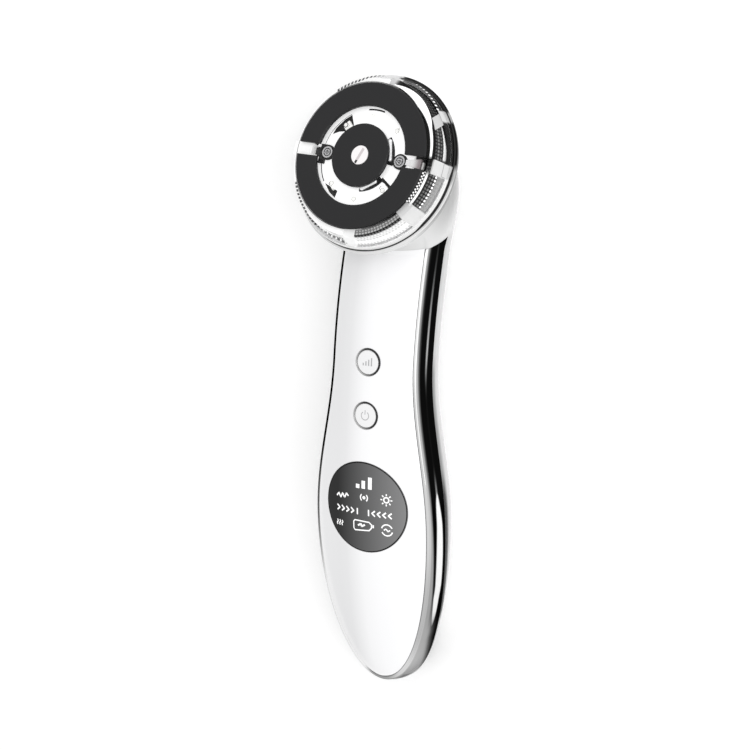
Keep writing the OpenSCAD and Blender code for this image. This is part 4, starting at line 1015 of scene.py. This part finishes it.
electrode_dark = finish(
    "dark_electrode", 1500, 0.1, (0.38, 0.5), Base_Color=(0.018, 0.018, 0.019, 1), Specular_IOR_Level=0.22
)
dress("upper_electrode lower_electrode center_electrode", electrode_dark)
# The reflector's glow is painted light that keeps it white under the cap; it is no lamp.
reflector_white = finish(
    "reflector_white", 700, 0.1, (0.15, 0.3),
    Base_Color=(0.9, 0.9, 0.905, 1), Emission_Color=(1, 1, 1, 1), Emission_Strength=0.42,
)
dress("reflector", reflector_white)
lamp_white = finish(
    "lamp_white", 1500, 0.1, (0.3, 0.42),
    Base_Color=(0.84, 0.84, 0.82, 1), Emission_Color=(1, 1, 0.98, 1), Emission_Strength=0.3,
)
dress("head_leds", lamp_white)
sensor_glass = finish(
    "sensor_glass", 900, 0.08, Base_Color=(0.93, 0.9, 0.905, 1), Roughness=0.08, Coat_Weight=1.0
)
dress("sensor_lens", sensor_glass)
satin_white = finish("satin_white", 900, 0.12, (0.3, 0.42), Base_Color=(0.8, 0.8, 0.805, 1))
dress("motor_cap battery_strap head_frame", satin_white)
dress("led_board", finish("black_board", 1600, 0.2, (0.35, 0.5), Base_Color=(0.01, 0.01, 0.01, 1)))
RUBBER = finish("black_rubber", 1600, 0.2, (0.6, 0.75), Base_Color=(0.008, 0.008, 0.008, 1))
dress("head_seal", RUBBER)
dress("contact_pins", GILT)
dress("side_clip port_tongue level_plunger power_plunger switch_bodies display_frame control_chips", BLACK)
dress("board_screws strap_screws motor_screws port_screws head_screws led_board_screws", STEEL)
dress("motor_can motor_shaft", STEEL)

# Small parts round the centre electrode
# Two bright spring pins press on the centre electrode's rim from black holders. A rubber ring sits
# under each screw, and a dark line closes the joint between the collar and the cup.
# heights over the electrodes' face; lamps and screws lie on a circle of radius CIRCLE_R
REFLECTOR, LAMP_TOP, SCREW_TOP, PIN_MID, COLLAR_FOOT = -3.0, -2.8, -2.1, -2.35, -9.44
SLOT_AT, NICK_AT, PIN_R, CIRCLE_R = -0.19, -0.185, 0.6, 13.0


def pattern_point(x, u, h):
    """Right, up and out coordinates of the head's pattern."""
    return on_head(np.hypot(x, u), np.degrees(np.arctan2(u, x)), h)


def polar(r, azimuth):
    """Right and up coordinates of a place given by radius and angle."""
    return r * np.cos(np.radians(azimuth)), r * np.sin(np.radians(azimuth))


def flat_at(h):
    """A function that lays a stroke flat on the head's pattern at a height over the face."""
    return lambda x, u: pattern_point(x, u, h)


def swept(profile, azimuth):
    """A profile of (radius, height) points carried round the head's axis over some angles."""
    r, h = np.array(profile).T[:, :, None]
    return on_head(r, azimuth, h)


def rod(start, end, radius, h, count=24):
    """A round rod with half-ball ends lying over the reflector, between two flat points."""
    start, end = np.array(start), np.array(end)
    length = np.hypot(*(end - start))
    run = (end - start) / length
    a = np.linspace(0, np.pi / 2, 7)
    along = np.concatenate([-radius * np.cos(a), length + radius * np.sin(a)])[:, None]
    size = np.concatenate([radius * np.sin(a), radius * np.cos(a)])[:, None]
    t = np.linspace(0, 2 * np.pi, count + 1)[:-1]
    x = start[0] + along * run[0] - size * np.cos(t) * run[1]
    u = start[1] + along * run[1] + size * np.cos(t) * run[0]
    return pattern_point(x, u, h + size * np.sin(t))


# The pins' faint glow is painted light; they are no lamp.
polished_pin = finish(
    "polished_pin", 1500, 0.05, (0.08, 0.16),
    Base_Color=(0.92, 0.92, 0.93, 1), Metallic=0.3, Emission_Color=(1, 1, 1, 1), Emission_Strength=0.15,
)
pins = Skin()
for start, end in ((polar(9.9, 36), polar(9.5, 2)), (polar(9.8, 283), polar(9.3, 312))):
    pins.add(rod(start, end, PIN_R, PIN_MID), closed=True, flip=True)
pins.build("spring_pins", polished_pin, "housing")
# a holder's section, by radius and height
holders = Skin()
HOLDER = [(8.7, REFLECTOR), (8.7, -2.75), (8.8, -2.65), (10.5, -2.65), (10.6, -2.75), (10.6, REFLECTOR)]
for low, high in ((-8, 42), (277, 324)):
    body = swept(HOLDER, np.linspace(low, high, 33))
    holders.add(body)
    for end, flip in ((0, False), (-1, True)):
        holders.add(np.stack([body[:3, end], body[:2:-1, end]]), flip=flip)
holders.build("pin_holders", BLACK, "housing")
# a rubber ring's section, by distance from the screw's middle and height
rubbers = Skin()
ring_r, ring_h = np.array([
    (1.85, REFLECTOR), (1.85, -2.2), (1.95, -2.05), (2.2, -2.05), (2.35, -2.25), (2.35, REFLECTOR)
]).T[:, :, None]
t = np.linspace(0, 2 * np.pi, 49)[:-1]
for azimuth in (0, 180):
    x, u = polar(CIRCLE_R, azimuth)
    rubbers.add(pattern_point(x + ring_r * np.cos(t), u + ring_r * np.sin(t), ring_h), closed=True)
rubbers.build("screw_rubbers", RUBBER, "housing")
# the dark joint between collar and cup
joint = Skin()
JOINT = [
    (27.0, -9.45), (27.12, -9.43), (27.18, -9.6), (27.36, -9.68), (27.4, -9.78), (27.0, -9.8), (27.0, -9.45)
]
joint.add(swept(JOINT, np.linspace(0, 360, 361)[:-1]), closed=True, flip=True)
joint.build("joint_line", RUBBER, "housing")
# the white collar's skin holds a painted reflection of what stands beside it and a painted shadow at its foot
collar_parts = new_material("collar_gloss", Specular_IOR_Level=0.3)
painted(collar_parts, "tone", "Base Color")
fine_texture(collar_parts, 900, 0.06, (0.15, 0.25))
low = np.concatenate([[-7.88, -7.88], np.linspace(-7.98, COLLAR_FOOT, 13)])
round_it = np.linspace(0, 360, 721)[:-1]
bearing = signed_angle(round_it)
shadow = 0.8 * between(bearing, -40, 1, 12) + 0.35 * between(bearing, -98, -80, 6)
level = rim_level(bearing) * (1 - 0.95 * soft(COLLAR_FOOT - low[:, None] + shadow, 0, 0.12))
collar = Skin()
collar_side = swept(np.stack([[26.85, 27.02] + [27.12] * 13, low], -1), round_it)
tone = 0.9 * level**2.2
collar.add(collar_side, closed=True, flip=True, uv=mapped(tone, tone))
collar_skin = collar.build("collar_skin", collar_parts[0], "housing")
paint(collar_skin, tone=own_tone)
# thin shadow lines on the reflector, seen through the gaps between the electrodes
MARKS = (
    (arc(0, 0, 14.9, 77, 99), 0.5), (arc(0, 0, 15.0, 122, 146), 0.16), (arc(0, 0, 15.1, 146, 170), 0.16),
    (arc(0, 0, 15.1, 191, 216), 0.3), (arc(-0.4, 12.9, 0.62, -70, 150), 0.16),
    (arc(-9.4, -9.3, 0.75, 20, 240), 0.16), (arc(8.6, -8.5, 0.6, 100, 300), 0.16),
    (arc(9.2, 9.8, 0.5, -50, 60), 0.2), ([polar(13.0, -88), polar(13.8, -90.5)], 0.25),
)
# rings round the lamps and on the screws: radius, width, height and the angles they stand at
RINGS = (
    (0.72, 0.08, LAMP_TOP + INK_LIFT, (45, 225, 270, 315)), (0.72, 0.24, LAMP_TOP + INK_LIFT, (135,)),
    (1.15, 0.28, SCREW_TOP + 0.02, (0, 180)), (0.45, 0.16, SCREW_TOP + 0.02, (0, 180)),
)
marks = draw(Skin(), MARKS, flat_at(REFLECTOR + INK_LIFT))
for r, width, h, places in RINGS:
    circles = [(arc(*polar(CIRCLE_R, azimuth), r, 0, 360, 33), width) for azimuth in places]
    draw(marks, circles, flat_at(h))
marks.build("reflector_marks", BLACK, "housing")
glass_slot = finish("glass_slot", 1500, 0.1, (0.3, 0.4), Base_Color=(0.62, 0.57, 0.58, 1))
slot, nick = [polar(2.3, 68), polar(1.7, 250)], [polar(1.75, 250), polar(2.75, 250)]
draw(Skin(), [(slot, 0.9)], flat_at(SLOT_AT)).build("lens_slot", glass_slot, "housing")
draw(Skin(), [(nick, 0.75)], flat_at(NICK_AT)).build("lens_nick", BLACK, "housing")

# Inside parts
# Boards with solder mask, the wrapped cell, the coil and the sintered weight stay out of sight in
# the closed housing. They keep the shapes of the solids and get their own finish.
solder_mask = finish(
    "solder_mask", 900, 0.15, (0.3, 0.45), Base_Color=(0.012, 0.09, 0.035, 1), Coat_Weight=0.4
)
dress("main_board port_board", solder_mask)
dress("battery", finish("cell_film", 700, 0.3, (0.25, 0.4), Base_Color=(0.03, 0.12, 0.35, 1)))
enamelled_wire = finish(
    "enamelled_wire", 3000, 0.5, (0.3, 0.5), Base_Color=(0.3, 0.09, 0.03, 1), Metallic=0.5
)
dress("rf_transformer", enamelled_wire)
sintered_metal = finish(
    "sintered_metal", 2500, 0.4, (0.5, 0.65), Base_Color=(0.2, 0.2, 0.21, 1), Metallic=0.8
)
dress("eccentric_weight", sintered_metal)
dress("display_panel", finish("display_glass", 900, 0.1, (0.1, 0.2), Base_Color=(0.02, 0.02, 0.025, 1)))

# Setting
# A pale even floor and soft studio light; the camera is worked out from where the photo was taken.
def placed(name, data, axes, place):
    """An object set at place, in metres, with its three axes given as columns."""
    thing = bpy.data.objects.new(name, data)
    thing.matrix_world = Matrix([[*row, p] for row, p in zip(np.transpose(axes), place)] + [[0, 0, 0, 1]])
    scene.collection.objects.link(thing)
    return thing


def box_of_light(name, place, aim, size, power):
    """A soft square lamp at place, in metres, turned towards aim."""
    lamp = bpy.data.lights.new(name, "AREA")
    lamp.shape, lamp.size, lamp.energy = "SQUARE", size, power
    z = np.array(place, float) - aim
    z /= np.linalg.norm(z)
    x = np.cross((0, 1, 0.01), z)
    x /= np.linalg.norm(x)
    placed(name, lamp, (x, np.cross(z, x), z), place)


world = bpy.data.worlds.new("studio")
world.use_nodes = True
sky = world.node_tree.nodes["Background"]
sky.inputs["Color"].default_value = (1, 1, 1, 1)
sky.inputs["Strength"].default_value = 0.8
scene.world = world
scene.view_settings.view_transform = "Standard"

floor_parts = new_material(
    "pale_floor", Base_Color=(0.95, 0.95, 0.95, 1), Emission_Color=(1, 1, 1, 1), Emission_Strength=0.13
)
fine_texture(floor_parts, 30, 0.03, (0.7, 0.8), distance=1e-4)
floor_mesh = bpy.data.meshes.new("floor")
floor_mesh.from_pydata([(-3, -3, 0), (3, -3, 0), (3, 3, 0), (-3, 3, 0)], [], [(0, 1, 2, 3)])
floor_mesh.materials.append(floor_parts[0])
placed("floor", floor_mesh, np.eye(3), (0, 0, 0))

box_of_light("softbox_right", (0.75, 0.1, 0.7), (0, 0, 0.02), 0.6, 3.2)
box_of_light("softbox_top", (0.15, 0.6, 0.9), (0, 0.05, 0.02), 0.6, 1.2)

lens = bpy.data.cameras.new("camera")
lens.lens, lens.sensor_width = 69.4, 36
lens.clip_start = 0.01
RIGHT, UP, BACK = (0.85403, 0.03988, -0.51869), (-0.11951, 0.98543, -0.12100), (0.50631, 0.16532, 0.84636)
scene.camera = placed("camera", lens, (RIGHT, UP, BACK), (0.23145, 0.08246, 0.4133))
